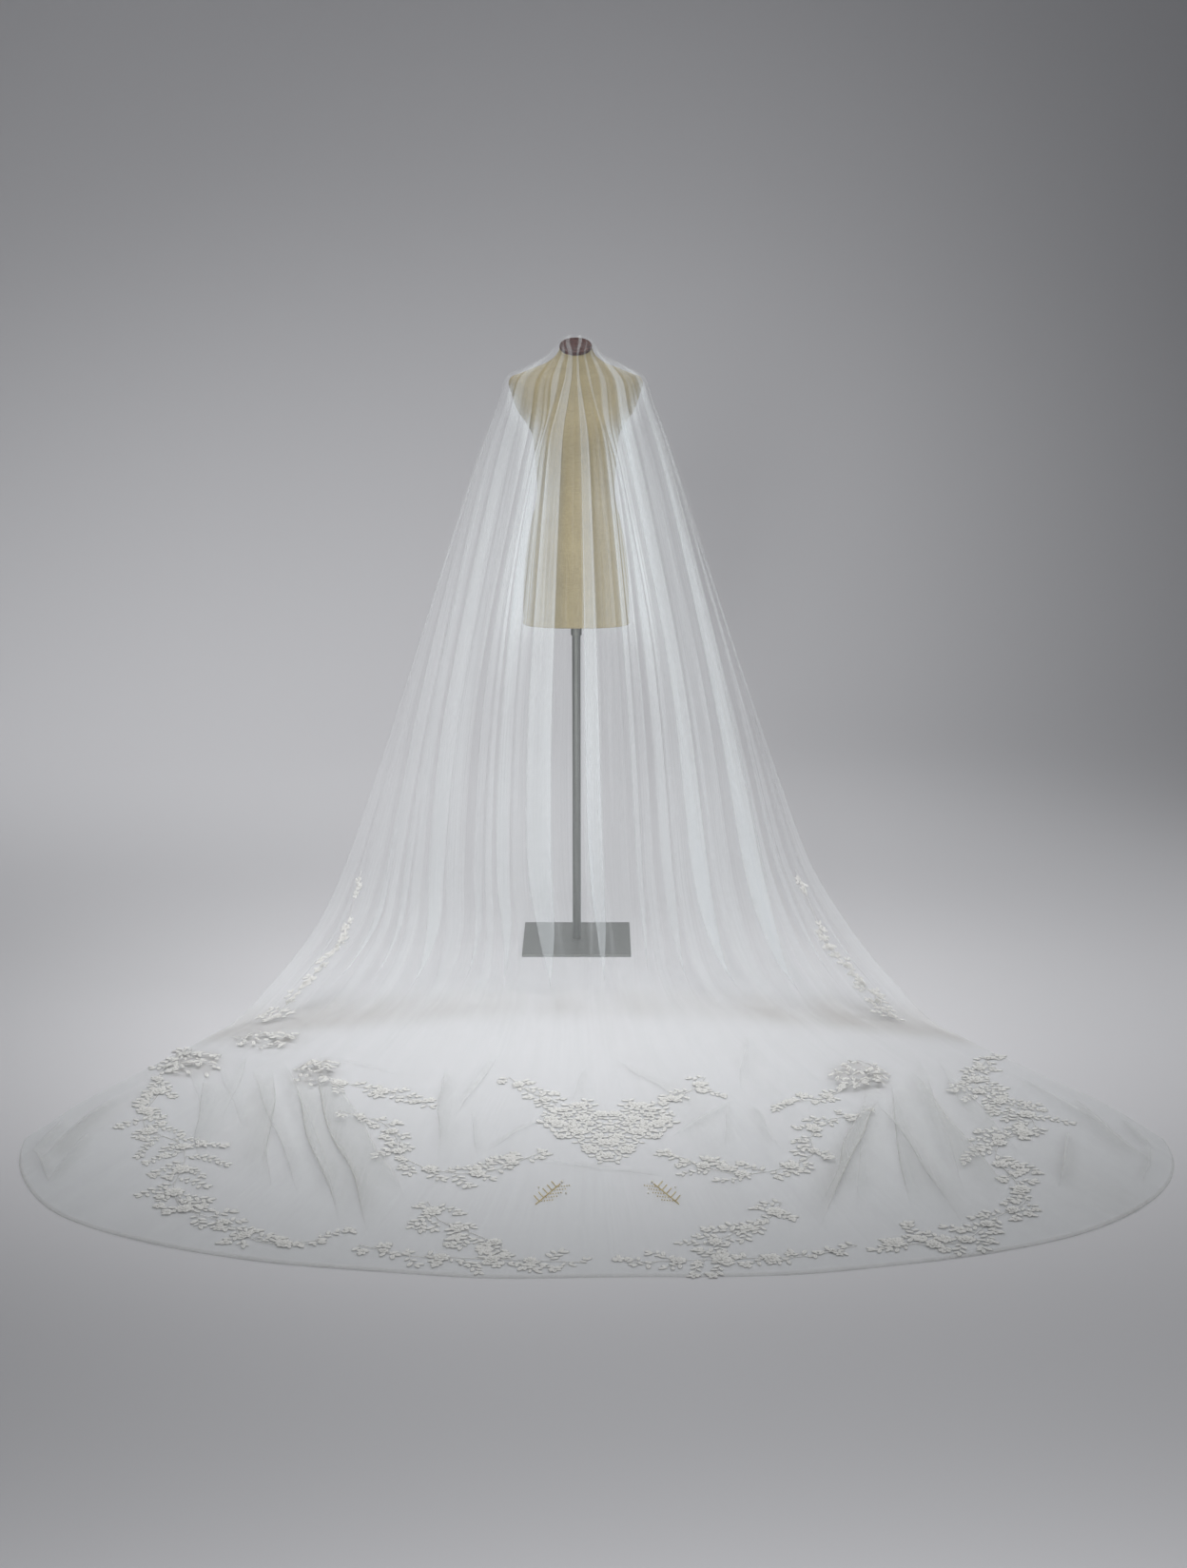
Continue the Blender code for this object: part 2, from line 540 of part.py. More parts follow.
def build_form(finish, collection):
    rings = [form_ring(level) for level in FORM_LEVELS]
    points = [p for ring in rings for p in ring]
    faces = []
    for r in range(len(rings) - 1):
        for c in range(FORM_COLUMNS):
            a, b = r * FORM_COLUMNS + c, r * FORM_COLUMNS + (c + 1) % FORM_COLUMNS
            faces.append((a, b, b + FORM_COLUMNS, a + FORM_COLUMNS))
    last = (len(rings) - 1) * FORM_COLUMNS
    faces.append(tuple(range(FORM_COLUMNS)))
    faces.append(tuple(last + c for c in range(FORM_COLUMNS)))
    add_object("form_torso", mesh_from("form_torso", points, faces), finish, collection)


def build_cap(finish, collection):
    """Round wooden cap on the leaning top of the neck."""
    top = FORM_LEVELS[-1]
    bpy.ops.mesh.primitive_cylinder_add(vertices=28, radius=CAP_RADIUS, depth=CAP_THICK)
    cap = bpy.context.object
    cap.name = cap.data.name = "neck_cap"
    lean = Vector((0, -math.sin(CAP_LEAN), math.cos(CAP_LEAN)))
    middle = Vector((0, (top["front"] + top["back"]) / 2, top["z"]))
    cap.location = middle + lean * (CAP_THICK / 2 + GAP)
    cap.rotation_euler = (CAP_LEAN, 0, 0)
    rounding = cap.modifiers.new("round edge", "BEVEL")
    rounding.width = 0.0025
    rounding.segments = 1
    rounding.limit_method = "ANGLE"
    finish_primitive(cap, finish, collection)


def finish_primitive(made, finish, collection):
    made.data.materials.append(finish)
    for holder in list(made.users_collection):
        holder.objects.unlink(made)
    collection.objects.link(made)
    made.data.shade_smooth()
    made.data.set_sharp_from_angle(angle=math.radians(40))


def build_stand(finish, collection):
    bpy.ops.mesh.primitive_cube_add(size=1)
    plate = bpy.context.object
    plate.name = plate.data.name = "base_plate"
    plate.data.transform(Matrix.Diagonal((PLATE_SIDE, PLATE_SIDE, PLATE_THICK, 1)))
    plate.location.z = PLATE_THICK / 2
    rounding = plate.modifiers.new("eased edges", "BEVEL")
    rounding.width = EDGE_EASE
    rounding.segments = 1
    finish_primitive(plate, finish, collection)

    collar_top = FORM_BOTTOM - GAP
    collar_foot = collar_top - COLLAR_HEIGHT
    bpy.ops.mesh.primitive_cylinder_add(vertices=24, radius=COLLAR_RADIUS, depth=COLLAR_HEIGHT)
    collar = bpy.context.object
    collar.name = collar.data.name = "collar"
    collar.location.z = (collar_top + collar_foot) / 2
    rounding = collar.modifiers.new("eased edges", "BEVEL")
    rounding.width = EDGE_EASE
    rounding.segments = 1
    rounding.limit_method = "ANGLE"
    finish_primitive(collar, finish, collection)

    foot, head = PLATE_THICK + GAP, collar_foot - GAP
    bpy.ops.mesh.primitive_cylinder_add(vertices=24, radius=POLE_RADIUS, depth=head - foot)
    pole = bpy.context.object
    pole.name = pole.data.name = "pole"
    pole.location.z = (head + foot) / 2
    finish_primitive(pole, finish, collection)


def main():
    for old in list(bpy.data.objects):
        bpy.data.objects.remove(old, do_unlink=True)
    veil = new_collection("bridal_veil_on_dress_form")
    tulle = material("silk tulle", (0.86, 0.87, 0.90), 0.7)
    lace = material("corded lace", (0.87, 0.87, 0.85), 0.6)
    ribbon = material("satin ribbon", (0.85, 0.85, 0.86), 0.4)
    plastic = material("clear plastic", (0.80, 0.80, 0.78), 0.2)
    linen = material("cream linen", (0.66, 0.60, 0.47), 0.85)
    wood = material("mahogany cap", (0.09, 0.02, 0.015), 0.35)
    steel = material("brushed steel", (0.30, 0.30, 0.29), 0.4, 1.0)
    build_form(linen, veil)
    build_cap(wood, veil)
    build_stand(steel, veil)
    outer = build_tulle(tulle, veil)
    build_heading(ribbon, plastic, veil)
    for garland in GARLANDS:
        build_garland(garland, lace, veil)
    build_spray(lace, veil)
    build_edge_lace(outer, lace, veil)


main()
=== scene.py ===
"""Bridal veil on a dress form: the looks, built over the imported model.

Metres, +Z up. The train lies towards -Y, where the camera stands. The net and its lace are laid
on the same sections that the solid has. A place counts those sections down from the heading,
and u runs across them from the left side edge (-1) over the front (0) to the right one (1).
"""
import math
import random
from functools import lru_cache

import bmesh
import bpy
from mathutils import Euler, Matrix, Vector, noise


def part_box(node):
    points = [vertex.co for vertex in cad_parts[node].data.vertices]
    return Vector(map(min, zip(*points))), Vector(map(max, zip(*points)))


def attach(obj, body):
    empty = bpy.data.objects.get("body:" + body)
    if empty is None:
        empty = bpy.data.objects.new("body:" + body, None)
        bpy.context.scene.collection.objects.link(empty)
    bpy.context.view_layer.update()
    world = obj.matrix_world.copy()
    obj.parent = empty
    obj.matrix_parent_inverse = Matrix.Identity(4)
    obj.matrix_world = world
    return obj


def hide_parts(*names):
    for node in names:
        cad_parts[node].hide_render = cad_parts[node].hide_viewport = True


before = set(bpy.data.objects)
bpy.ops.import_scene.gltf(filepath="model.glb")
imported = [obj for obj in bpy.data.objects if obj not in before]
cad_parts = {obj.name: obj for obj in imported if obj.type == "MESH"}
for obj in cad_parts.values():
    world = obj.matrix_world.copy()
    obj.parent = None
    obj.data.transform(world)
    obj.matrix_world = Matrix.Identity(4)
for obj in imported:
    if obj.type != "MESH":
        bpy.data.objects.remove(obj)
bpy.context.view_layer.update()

# Sizes that the solids share
FORM_NAMES = ("z", "half", "front", "back", "square", "lean")
FORM_LEVELS = [
    (0.9640, 0.153, -0.100, 0.095, 2.6, 0),
    (1.0500, 0.152, -0.104, 0.103, 2.5, 0),
    (1.1500, 0.147, -0.106, 0.109, 2.4, 0),
    (1.2500, 0.130, -0.098, 0.096, 2.3, 0),
    (1.3450, 0.110, -0.089, 0.079, 2.2, 0),
    (1.4300, 0.115, -0.106, 0.087, 2.2, 0),
    (1.5000, 0.122, -0.127, 0.097, 2.2, 0),
    (1.5350, 0.138, -0.124, 0.100, 2.2, 0),
    (1.5750, 0.166, -0.110, 0.098, 2.2, 0),
    (1.6200, 0.182, -0.092, 0.090, 2.2, 0),
    (1.6480, 0.190, -0.078, 0.078, 2.2, 0),
    (1.6640, 0.184, -0.069, 0.069, 2.2, 0),
    (1.6780, 0.150, -0.061, 0.061, 2.1, 0),
    (1.6910, 0.118, -0.056, 0.055, 2.0, 0),
    (1.7040, 0.084, -0.053, 0.050, 2.0, 4),
    (1.7200, 0.060, -0.051, 0.046, 2.0, 12),
    (1.7360, 0.048, -0.050, 0.042, 2.0, 20),
    (1.7450, 0.0455, -0.050, 0.041, 2.0, 26),
]
CAP_RADIUS, CAP_THICK, CAP_LEAN = 0.0455, 0.010, math.radians(26)
GAP = 0.0003
FORM_COLUMNS = 96
FORM_STEPS = 4              # rings from one level to the next
FORM_SEAMS = (0, 16, 24, 32, 48, 64, 80)    # the columns that are seams
SEAM_DEPTH = 0.0011
# The form's bound lower edge: the place of each ring, and how far it is set in
BOUND_EDGE = [(0, 0.004), (0, 0.0), (0.02, -0.0012), (0.06, -0.0012), (0.10, 0.0)]
RIBBON_ROUND = 0.0008
STITCH_LINES = (-0.0042, -0.0036, 0.0036, 0.0042)   # heights on the ribbon, from its middle

# Sections of the tulle from its gathered heading to its hem. Their places: 0 heading, 1 to 3 over
# the cap, 4 neck, 5 shoulders, 6 armholes, 7 bust, 8 hip, 9 knee, 10 shin, 11 and 12 the flare,
# 13 where the net nears the floor, 14 and 15 where it lies flat, 16 train, 17 hem.
# veiling is what one layer hides of what lies behind it: fine net hides little, and more where it
# is gathered or seen at a low angle. open is how far the strips of folded net have spread out.
SECTION_NAMES = ("shift", "half", "front_y", "edge_y", "front_z", "edge_z", "square", "flat", "pleat",
                 "floor", "veiling", "open")
SECTIONS = [
    (0.000, 0.046, 0.0620, 0.0620, 1.7420, 1.7420, 2.0, 0.0, 0.0008, 0, 0.06, 0.0),
    (0.000, 0.056, 0.0450, 0.0560, 1.7790, 1.7240, 2.6, 0.0, 0.0011, 0, 0.04, 0.0),
    (0.000, 0.066, -0.0060, 0.0480, 1.7640, 1.7120, 3.0, 0.0, 0.0014, 0, 0.04, 0.0),
    (0.000, 0.092, -0.0580, 0.0400, 1.7380, 1.7030, 2.5, 0.0, 0.0020, 0, 0.07, 0.0),
    (0.000, 0.138, -0.0660, 0.0300, 1.7030, 1.6900, 2.3, 0.0, 0.0030, 0, 0.09, 0.0),
    (0.000, 0.190, -0.0900, 0.0120, 1.6500, 1.6640, 2.2, 0.0, 0.0040, 0, 0.10, 0.0),
    (0.000, 0.214, -0.1280, -0.0050, 1.5700, 1.5950, 2.1, 0.0, 0.0060, 0, 0.11, 0.0),
    (0.000, 0.252, -0.1420, -0.0280, 1.4700, 1.4900, 2.0, 0.0, 0.0095, 0, 0.11, 0.0),
    (0.000, 0.355, -0.2200, -0.0920, 1.1700, 1.1800, 2.0, 0.1, 0.0130, 0, 0.11, 0.0),
    (0.000, 0.484, -0.3180, -0.1820, 0.7900, 0.8000, 2.0, 0.3, 0.0150, 0, 0.13, 0.0),
    (0.002, 0.570, -0.3840, -0.2480, 0.5400, 0.5400, 2.0, 0.5, 0.0160, 0, 0.15, 0.05),
    (0.008, 0.650, -0.4380, -0.3300, 0.3300, 0.3300, 2.0, 0.7, 0.0150, 0, 0.17, 0.15),
    (0.020, 0.738, -0.4740, -0.4600, 0.1700, 0.1900, 2.0, 0.9, 0.0130, 0, 0.18, 0.35),
    (0.022, 0.845, -0.5080, -0.6200, 0.0600, 0.0800, 2.0, 1.0, 0.0095, 0.4, 0.20, 0.60),
    (0.026, 0.965, -0.5800, -0.7900, 0.0000, 0.0000, 2.0, 1.0, 0.0060, 1, 0.21, 0.85),
    (0.036, 1.110, -0.9400, -1.0500, 0.0000, 0.0000, 2.0, 0.9, 0.0000, 1, 0.22, 1.0),
    (0.048, 1.250, -1.4500, -1.3000, 0.0000, 0.0000, 2.2, 0.6, 0.0000, 1, 0.27, 1.0),
    (0.055, 1.325, -2.2050, -1.5000, 0.0000, 0.0000, 2.35, 0.0, 0.0000, 1, 0.31, 1.0),
]
REST_CLEAR = 0.0042
CLOTH_STEPS = [3, 4, 4, 4, 5, 5, 5, 7, 5, 4, 3, 4, 5, 6, 13, 17, 23]     # rows between the sections
HEM_ROWS = (0.0260, 0.0130, 0.0)    # the last rows, before the hem
CLOTH_THICK = 0.0004
CLOTH_LIFT = 0.0008         # of the net's middle over the floor
CUT_WIDE = 2.74             # width of the net as it is cut
FORM_SIDE_WIDE = 0.11       # how far across u the net is gathered against the form's sides
MOST_HIDDEN = 0.9           # by one layer, however closely it is gathered
FULL_PLEAT = 0.012          # height of the pleats where a strip stands at its full depth
HEM_WANDER = 0.012          # how far the hem strays in and out

# Strips where the net is folded back over itself, as the photograph shows them at knee height:
# where each runs across the section (-1 is the left edge), its faces a layer, its depth, how far
# the second layer stops short of the first, how dense its net is, and how crisp its turns are
STRIPS = [
    (-0.930, -0.885, 4, 0.010, 0.3, 0.8, 0.0), (-0.800, -0.735, 5, 0.012, 0.4, 1.1, 0.1),
    (-0.700, -0.650, 5, 0.010, 0.3, 1.0, 0.3), (-0.600, -0.505, 8, 0.014, 0.2, 1.35, 0.2),
    (-0.420, -0.350, 6, 0.011, 0.4, 1.0, 0.1), (-0.320, -0.250, 6, 0.011, 0.2, 1.25, 0.2),
    (-0.190, -0.095, 8, 0.015, 0.0, 1.1, 0.7), (0.038, 0.094, 7, 0.015, 0.0, 1.2, 0.8),
    (0.195, 0.240, 5, 0.010, 0.4, 1.1, 0.2), (0.285, 0.355, 6, 0.011, 0.3, 1.3, 0.1),
    (0.400, 0.495, 8, 0.014, 0.2, 1.7, 0.3), (0.600, 0.735, 8, 0.014, 0.3, 1.8, 0.2),
    (0.775, 0.835, 5, 0.011, 0.4, 1.1, 0.1), (0.880, 0.930, 4, 0.010, 0.3, 0.8, 0.0),
]
GAP_FACES = 8               # faces across the single net between two strips
GAP_WEIGHT, STRIP_WEIGHT = 1.60, 0.70   # how dense one layer is between the strips, and in them
# Where the columns lie over the shoulders, for each tenth of the way from the front to a side:
# the middle ones are gathered closer there, and the side ones hang from the shoulders' ends
SHOULDER_PLACES = [0.0, 0.03, 0.09, 0.20, 0.34, 0.48, 0.63, 0.77, 0.88, 0.96, 1.0]

# Long folds that lie on the floor: start, end, height, half width and how much one shades itself.
# A fold is steep on its left side, or on its right side where its half width is below zero.
FOLDS = [
    ((-0.66, -1.02), (-0.40, -2.04), 0.012, 0.050, 0.55), ((-0.74, -1.00), (-0.50, -1.92), 0.009, -0.034, 0.35),
    ((-0.82, -1.04), (-0.58, -1.84), 0.010, 0.030, 0.35), ((-0.90, -1.04), (-0.76, -1.48), 0.005, 0.022, 0.20),
    ((-0.84, -0.96), (-0.84, -1.42), 0.006, -0.022, 0.25), ((-1.13, -1.44), (-1.16, -1.76), 0.007, 0.026, 0.35),
    ((-0.98, -1.00), (-0.88, -1.36), 0.004, 0.020, 0.15), ((-0.32, -1.05), (-0.30, -1.62), 0.009, 0.036, 0.35),
    ((-0.20, -0.96), (-0.29, -1.40), 0.006, -0.026, 0.25), ((-0.24, -1.34), (-0.21, -1.62), 0.004, 0.016, 0.25),
    ((-0.05, -1.36), (-0.21, -1.58), 0.004, -0.016, 0.25), ((0.03, -1.05), (0.00, -1.28), 0.004, 0.018, 0.20),
    ((0.40, -1.26), (0.23, -1.50), 0.005, 0.020, 0.30), ((0.38, -1.28), (0.36, -1.56), 0.005, 0.018, 0.25),
    ((0.43, -1.28), (0.47, -1.56), 0.006, -0.022, 0.30), ((0.75, -1.24), (0.52, -1.98), 0.012, -0.048, 0.55),
    ((0.70, -1.30), (0.62, -1.90), 0.006, 0.024, 0.25), ((0.74, -1.26), (0.84, -1.96), 0.010, 0.030, 0.40),
    ((0.88, -0.98), (0.86, -1.84), 0.008, -0.030, 0.30), ((0.93, -1.00), (0.96, -1.40), 0.004, 0.022, 0.20),
    ((1.17, -1.44), (1.08, -1.80), 0.008, 0.026, 0.40), ((1.10, -1.10), (1.30, -1.50), 0.006, -0.030, 0.25),
    ((0.46, -0.80), (0.42, -1.22), 0.006, 0.036, 0.15), ((-0.62, -0.98), (-0.42, -1.12), 0.004, 0.020, 0.15),
    ((-1.21, -1.38), (-1.24, -1.60), 0.005, 0.020, 0.35), ((-1.24, -1.56), (-1.15, -1.76), 0.005, 0.018, 0.35),
    ((1.31, -1.38), (1.34, -1.58), 0.005, -0.020, 0.35), ((1.34, -1.54), (1.27, -1.76), 0.005, -0.018, 0.35),
    ((-0.70, -1.04), (-0.46, -1.98), 0.006, 0.070, 0.45), ((-0.78, -1.06), (-0.68, -1.80), 0.006, -0.060, 0.40),
    ((-0.62, -1.10), (-0.36, -1.86), 0.005, -0.050, 0.40), ((-0.92, -1.10), (-0.84, -1.64), 0.004, 0.050, 0.30),
    ((0.73, -1.22), (0.56, -1.90), 0.006, 0.070, 0.45), ((0.80, -1.14), (0.76, -1.90), 0.006, 0.060, 0.40),
    ((0.84, -1.06), (0.94, -1.84), 0.006, -0.060, 0.45), ((0.92, -1.10), (1.02, -1.60), 0.004, -0.050, 0.30),
    ((-1.12, -1.24), (-1.20, -1.66), 0.005, 0.045, 0.40), ((1.22, -1.24), (1.30, -1.66), 0.005, -0.045, 0.40),
    ((0.10, -1.00), (0.30, -1.30), 0.004, 0.030, 0.25), ((-0.10, -1.62), (0.24, -1.72), 0.003, 0.020, 0.25),
]
# Where net and lace lie bunched on the floor: the lace, the middle, two half sizes and the height
BUNCHES = [("lace_spray_left", (-0.645, -1.095), (0.050, 0.090), 0.016),
           ("lace_spray_left", (-0.800, -0.860), (0.085, 0.060), 0.010),
           ("lace_spray_right", (0.715, -1.120), (0.065, 0.095), 0.020),
           ("lace_outer_left", (-0.960, -1.030), (0.060, 0.080), 0.008)]
BUNCH_SPREAD = 1.6          # how far a bunch runs out, in its own half sizes
FAN_MIDDLE = (0.03, 1.2)    # of the faint creases that spread over the train
FAN_HEIGHT = 0.0020

# Lace garlands on the train: the CAD node, and the route of its stem with the lace's reach there
GARLANDS = [
    ("lace_outer_left", [
        (-0.99, -0.92, 0.035), (-1.04, -1.08, 0.030), (-1.02, -1.22, 0.075), (-1.03, -1.34, 0.070),
        (-1.00, -1.45, 0.085), (-0.91, -1.53, 0.090), (-0.88, -1.64, 0.075), (-0.88, -1.76, 0.080),
        (-0.84, -1.88, 0.055), (-0.74, -1.95, 0.050), (-0.64, -2.05, 0.050), (-0.52, -2.04, 0.080)]),
    ("lace_outer_right", [
        (1.08, -0.95, 0.030), (1.02, -1.08, 0.050), (1.00, -1.22, 0.070), (1.08, -1.33, 0.075),
        (1.09, -1.44, 0.070), (1.00, -1.52, 0.090), (0.97, -1.62, 0.080), (0.99, -1.74, 0.070),
        (0.99, -1.85, 0.060), (0.91, -1.93, 0.050), (0.81, -2.05, 0.060), (0.67, -2.05, 0.085)]),
    ("lace_hem_left", [
        (-0.44, -2.06, 0.030), (-0.33, -2.11, 0.035), (-0.22, -2.12, 0.065), (-0.08, -2.13, 0.050),
        (0.04, -2.14, 0.030)]),
    ("lace_hem_right", [
        (0.60, -2.06, 0.030), (0.49, -2.11, 0.035), (0.37, -2.12, 0.065), (0.24, -2.13, 0.050),
        (0.12, -2.14, 0.030)]),
    ("lace_rise_left", [
        (-0.31, -1.85, 0.060), (-0.28, -1.94, 0.070), (-0.21, -2.00, 0.055), (-0.14, -2.06, 0.045)]),
    ("lace_rise_right", [
        (0.46, -1.85, 0.060), (0.42, -1.94, 0.070), (0.35, -2.00, 0.055), (0.29, -2.06, 0.045)]),
    ("lace_inner_left", [
        (-0.56, -1.36, 0.030), (-0.46, -1.40, 0.060), (-0.41, -1.50, 0.050), (-0.39, -1.60, 0.050),
        (-0.31, -1.68, 0.065), (-0.21, -1.70, 0.080), (-0.14, -1.65, 0.050), (-0.07, -1.58, 0.025)]),
    ("lace_inner_right", [
        (0.72, -1.36, 0.030), (0.61, -1.39, 0.060), (0.56, -1.49, 0.050), (0.55, -1.60, 0.050),
        (0.46, -1.68, 0.065), (0.36, -1.70, 0.080), (0.29, -1.65, 0.050), (0.22, -1.58, 0.025)]),
    ("lace_spray_left", [
        (-0.63, -1.13, 0.040), (-0.53, -1.18, 0.065), (-0.44, -1.23, 0.055), (-0.36, -1.29, 0.025)]),
    ("lace_spray_right", [
        (0.77, -1.13, 0.030), (0.68, -1.20, 0.040), (0.59, -1.26, 0.060), (0.50, -1.29, 0.040)]),
    ("lace_arm_left", [
        (-0.16, -1.12, 0.050), (-0.11, -1.21, 0.060), (-0.04, -1.29, 0.040)]),
    ("lace_arm_right", [
        (0.33, -1.12, 0.040), (0.29, -1.21, 0.065), (0.21, -1.29, 0.040)]),
]
# The strips of folded net on the train: rows along each and points across it, how fine they are
# drawn, and how far one lifts off the net below as a share of its fold's height
FOLD_ROWS, FOLD_WIDE = 26, 9
FOLD_LIFT, FOLD_THICK = 0.30, 0.0002
FOLD_CLEAR = 0.0006         # and the least height of one over the net
STEM_STEP = 0.008           # between the points of a stem
TWIG_SPACING = 2            # stem points from one twig to the next
FLOWER_SPACING = 9          # and from one flower to the next
LEAF = (0.021, 0.0052)      # a leaf's length and half width
LEAF_SPACING = 0.0095       # along a twig
TWIG_CORD = 0.0007          # half width of a twig's cord
FLOWER = 0.0190             # reach of a large flower's petals
LEAST_REACH = 0.01          # of the lace where a stem still carries any
BUNCH_LEAVES = 46
ON_NET = 0.0004             # from the middle of the net to what lies on it
LACE_UNDER, LACE_FOOT = 0.0001, 0.0005      # heights of a leaf's underside and of its rim
# A small knot of cord: its sides, and each ring's share of its radius and height
KNOT_SIDES = 6
KNOT_RINGS = ((1.0, 0.0006), (0.8, 0.0018), (0.35, 0.0022))
SPRAY_MIDDLE = (0.085, -1.45)
SPRAY_ROWS, SPRAY_SPACING = 14, 0.027
SPRAY_TOP = 0.175           # of the first row, from the middle
# The heart of that spray: its half width, where it is widest, how far its lobes reach from there,
# where its straight sides start and end, and the cleft between its lobes
HEART_HALF, HEART_WIDEST, HEART_LOBE = 0.160, 0.045, 0.150
HEART_SIDES, HEART_POINT = 0.03, -0.200
CLEFT_END, CLEFT_HALF = 0.10, 0.030
SPRIG_SCALE = 1.3           # of the bead sprigs, whose drawing is 96 mm long
BEAD_RADIUS, BEAD_SPACING = 0.0017, 0.0042
EDGE_LACE = (0.83, 0.94)    # how far out on the section the climbing lace lies
EDGE_LACE_WIDE = 0.11       # and how wide that is on the net
EDGE_LACE_LIFT = 0.004      # how far it lies off the pleats
EDGE_LACE_SWAY = 0.012      # of its stem from side to side
EDGE_LACE_PLACES = (11.0, 13.9)
# Reach of the climbing lace from the floor up, at even steps: it comes and goes on the folds
EDGE_LACE_REACH = (0.040, 0.036, 0.026, 0.022, 0.028, 0.016, 0.000, 0.018, 0.000)


# Curves and tables
def steady(values):
    """Slopes for a curve through evenly spaced values that never overshoots them."""
    steps = [b - a for a, b in zip(values, values[1:])]
    inner = [0.0 if a * b <= 0 else 2 * a * b / (a + b) for a, b in zip(steps, steps[1:])]
    return [steps[0], *inner, steps[-1]]


class Table:
    """Rows of named sizes, read smoothly at any place between the rows."""

    def __init__(self, names, rows):
        self.last = len(rows) - 1
        self.columns = {name: [row[k] for row in rows] for k, name in enumerate(names)}
        self.slopes = {name: steady(values) for name, values in self.columns.items()}

    @lru_cache(maxsize=None)
    def at(self, place):
        row = min(max(int(place), 0), self.last - 1)
        t = place - row
        # a curve through both rows with the given slopes
        weights = (2 * t ** 3 - 3 * t ** 2 + 1, t ** 3 - 2 * t ** 2 + t,
                   3 * t ** 2 - 2 * t ** 3, t ** 3 - t ** 2)
        found = {}
        for name, values in self.columns.items():
            slopes = self.slopes[name]
            terms = (values[row], slopes[row], values[row + 1], slopes[row + 1])
            found[name] = sum(weight * term for weight, term in zip(weights, terms))
        return found

    def place_of(self, name, value):
        """Where a rising column takes a value."""
        values = self.columns[name]
        for row in range(self.last):
            if values[row] <= value <= values[row + 1]:
                return row + (value - values[row]) / (values[row + 1] - values[row])
        return None


FORM = Table(FORM_NAMES, FORM_LEVELS)
VEIL = Table(SECTION_NAMES, SECTIONS)
SHOULDERS = Table(("place",), [(place,) for place in SHOULDER_PLACES])


def power(value, exponent):
    return math.copysign(abs(value) ** exponent, value)


def smooth(t):
    t = min(max(t, 0.0), 1.0)
    return t * t * (3 - 2 * t)


def soft_step(value, start, length):
    """A soft step: 0 up to the start, and 1 from a length further on."""
    return smooth((value - start) / length)


def mix(a, b, share):
    return a + (b - a) * share


def to_line(x, y, a, b):
    """Distance from a point of the plan to a straight stretch, and the share of it gone by then."""
    dx, dy = b[0] - a[0], b[1] - a[1]
    t = min(max(((x - a[0]) * dx + (y - a[1]) * dy) / (dx * dx + dy * dy), 0.0), 1.0)
    return math.hypot(x - a[0] - t * dx, y - a[1] - t * dy), t


# Materials
def srgb(code):
    """An sRGB hex colour as linear numbers."""
    parts = [int(code[k:k + 2], 16) / 255 for k in (1, 3, 5)]
    return (*[p / 12.92 if p <= 0.04045 else ((p + 0.055) / 1.055) ** 2.4 for p in parts], 1)


def add_node(tree, kind, inputs=None, **settings):
    """Adds a node with its settings, and with its inputs set or linked."""
    made = tree.nodes.new("ShaderNode" + kind)
    for name, value in settings.items():
        setattr(made, name, value)
    for name, value in (inputs or {}).items():
        if isinstance(value, bpy.types.NodeSocket):
            tree.links.new(value, made.inputs[name])
        else:
            made.inputs[name].default_value = value
    return made


def new_material(name, **settings):
    """A material with numbers set on its shader's sockets, with its tree and its shader."""
    made = bpy.data.materials.new(name)
    made.use_nodes = True
    shader = made.node_tree.nodes["Principled BSDF"]
    for socket, value in settings.items():
        shader.inputs[socket.replace("_", " ")].default_value = value
    return made, made.node_tree, shader


def ramp_between(tree, source, low, high, start=0.0, end=1.0):
    """A colour that runs from low to high as source runs from start to end."""
    made = add_node(tree, "ValToRGB", {"Fac": source})
    made.color_ramp.elements[0].position, made.color_ramp.elements[0].color = start, low
    made.color_ramp.elements[1].position, made.color_ramp.elements[1].color = end, high
    return made.outputs["Color"]


def silk_tulle():
    """Hexagonal net of fine silk-like yarn: matt, and mostly holes, so it veils rather than hides.
    Its 1 mm cells are too fine to show, so the net is drawn as what it veils, with the soft
    lengthwise streaks, 2 to 40 mm wide, where it is gathered a little more or less. Its colour
    carries painted shade: greyer where net lies on net, at its folds and bunches, where it comes
    down to the floor, along its hem and over the train."""
    made, tree, shader = new_material("silk_tulle_net", Roughness=0.8, Sheen_Weight=0.25, Sheen_Roughness=0.5)
    cloth = add_node(tree, "UVMap", uv_map="cloth").outputs["UV"]
    streaks = None
    for scale, detail in (((24, 0.4, 1), 2.0), ((110, 1.2, 1), 1.0), ((330, 2.0, 1), 0.0)):
        lengthwise = add_node(tree, "Mapping", {"Vector": cloth, "Scale": scale}).outputs["Vector"]
        more = add_node(tree, "TexNoise", {"Vector": lengthwise, "Scale": 1.0, "Detail": detail}).outputs["Fac"]
        streaks = more if streaks is None else add_node(
            tree, "Math", {0: streaks, 1: more}, operation="ADD").outputs["Value"]
    share = add_node(tree, "MapRange", {"Value": streaks, "From Min": 1.15, "From Max": 1.85, "To Min": 0.58,
                                        "To Max": 1.42}).outputs["Result"]
    gathers = add_node(tree, "Attribute", attribute_name="gathers").outputs["Fac"]
    spread = add_node(tree, "Mix", {"Factor": gathers, "A": 1.0, "B": share}, data_type="FLOAT").outputs[0]
    veiling = add_node(tree, "Attribute", attribute_name="veiling").outputs["Fac"]
    alpha = add_node(tree, "Math", {0: veiling, 1: spread}, operation="MULTIPLY", use_clamp=True)
    tree.links.new(alpha.outputs["Value"], shader.inputs["Alpha"])
    shading = add_node(tree, "Attribute", attribute_name="shading").outputs["Fac"]
    tree.links.new(ramp_between(tree, shading, srgb("#f2f7f9"), srgb("#aba293")), shader.inputs["Base Color"])
    return made


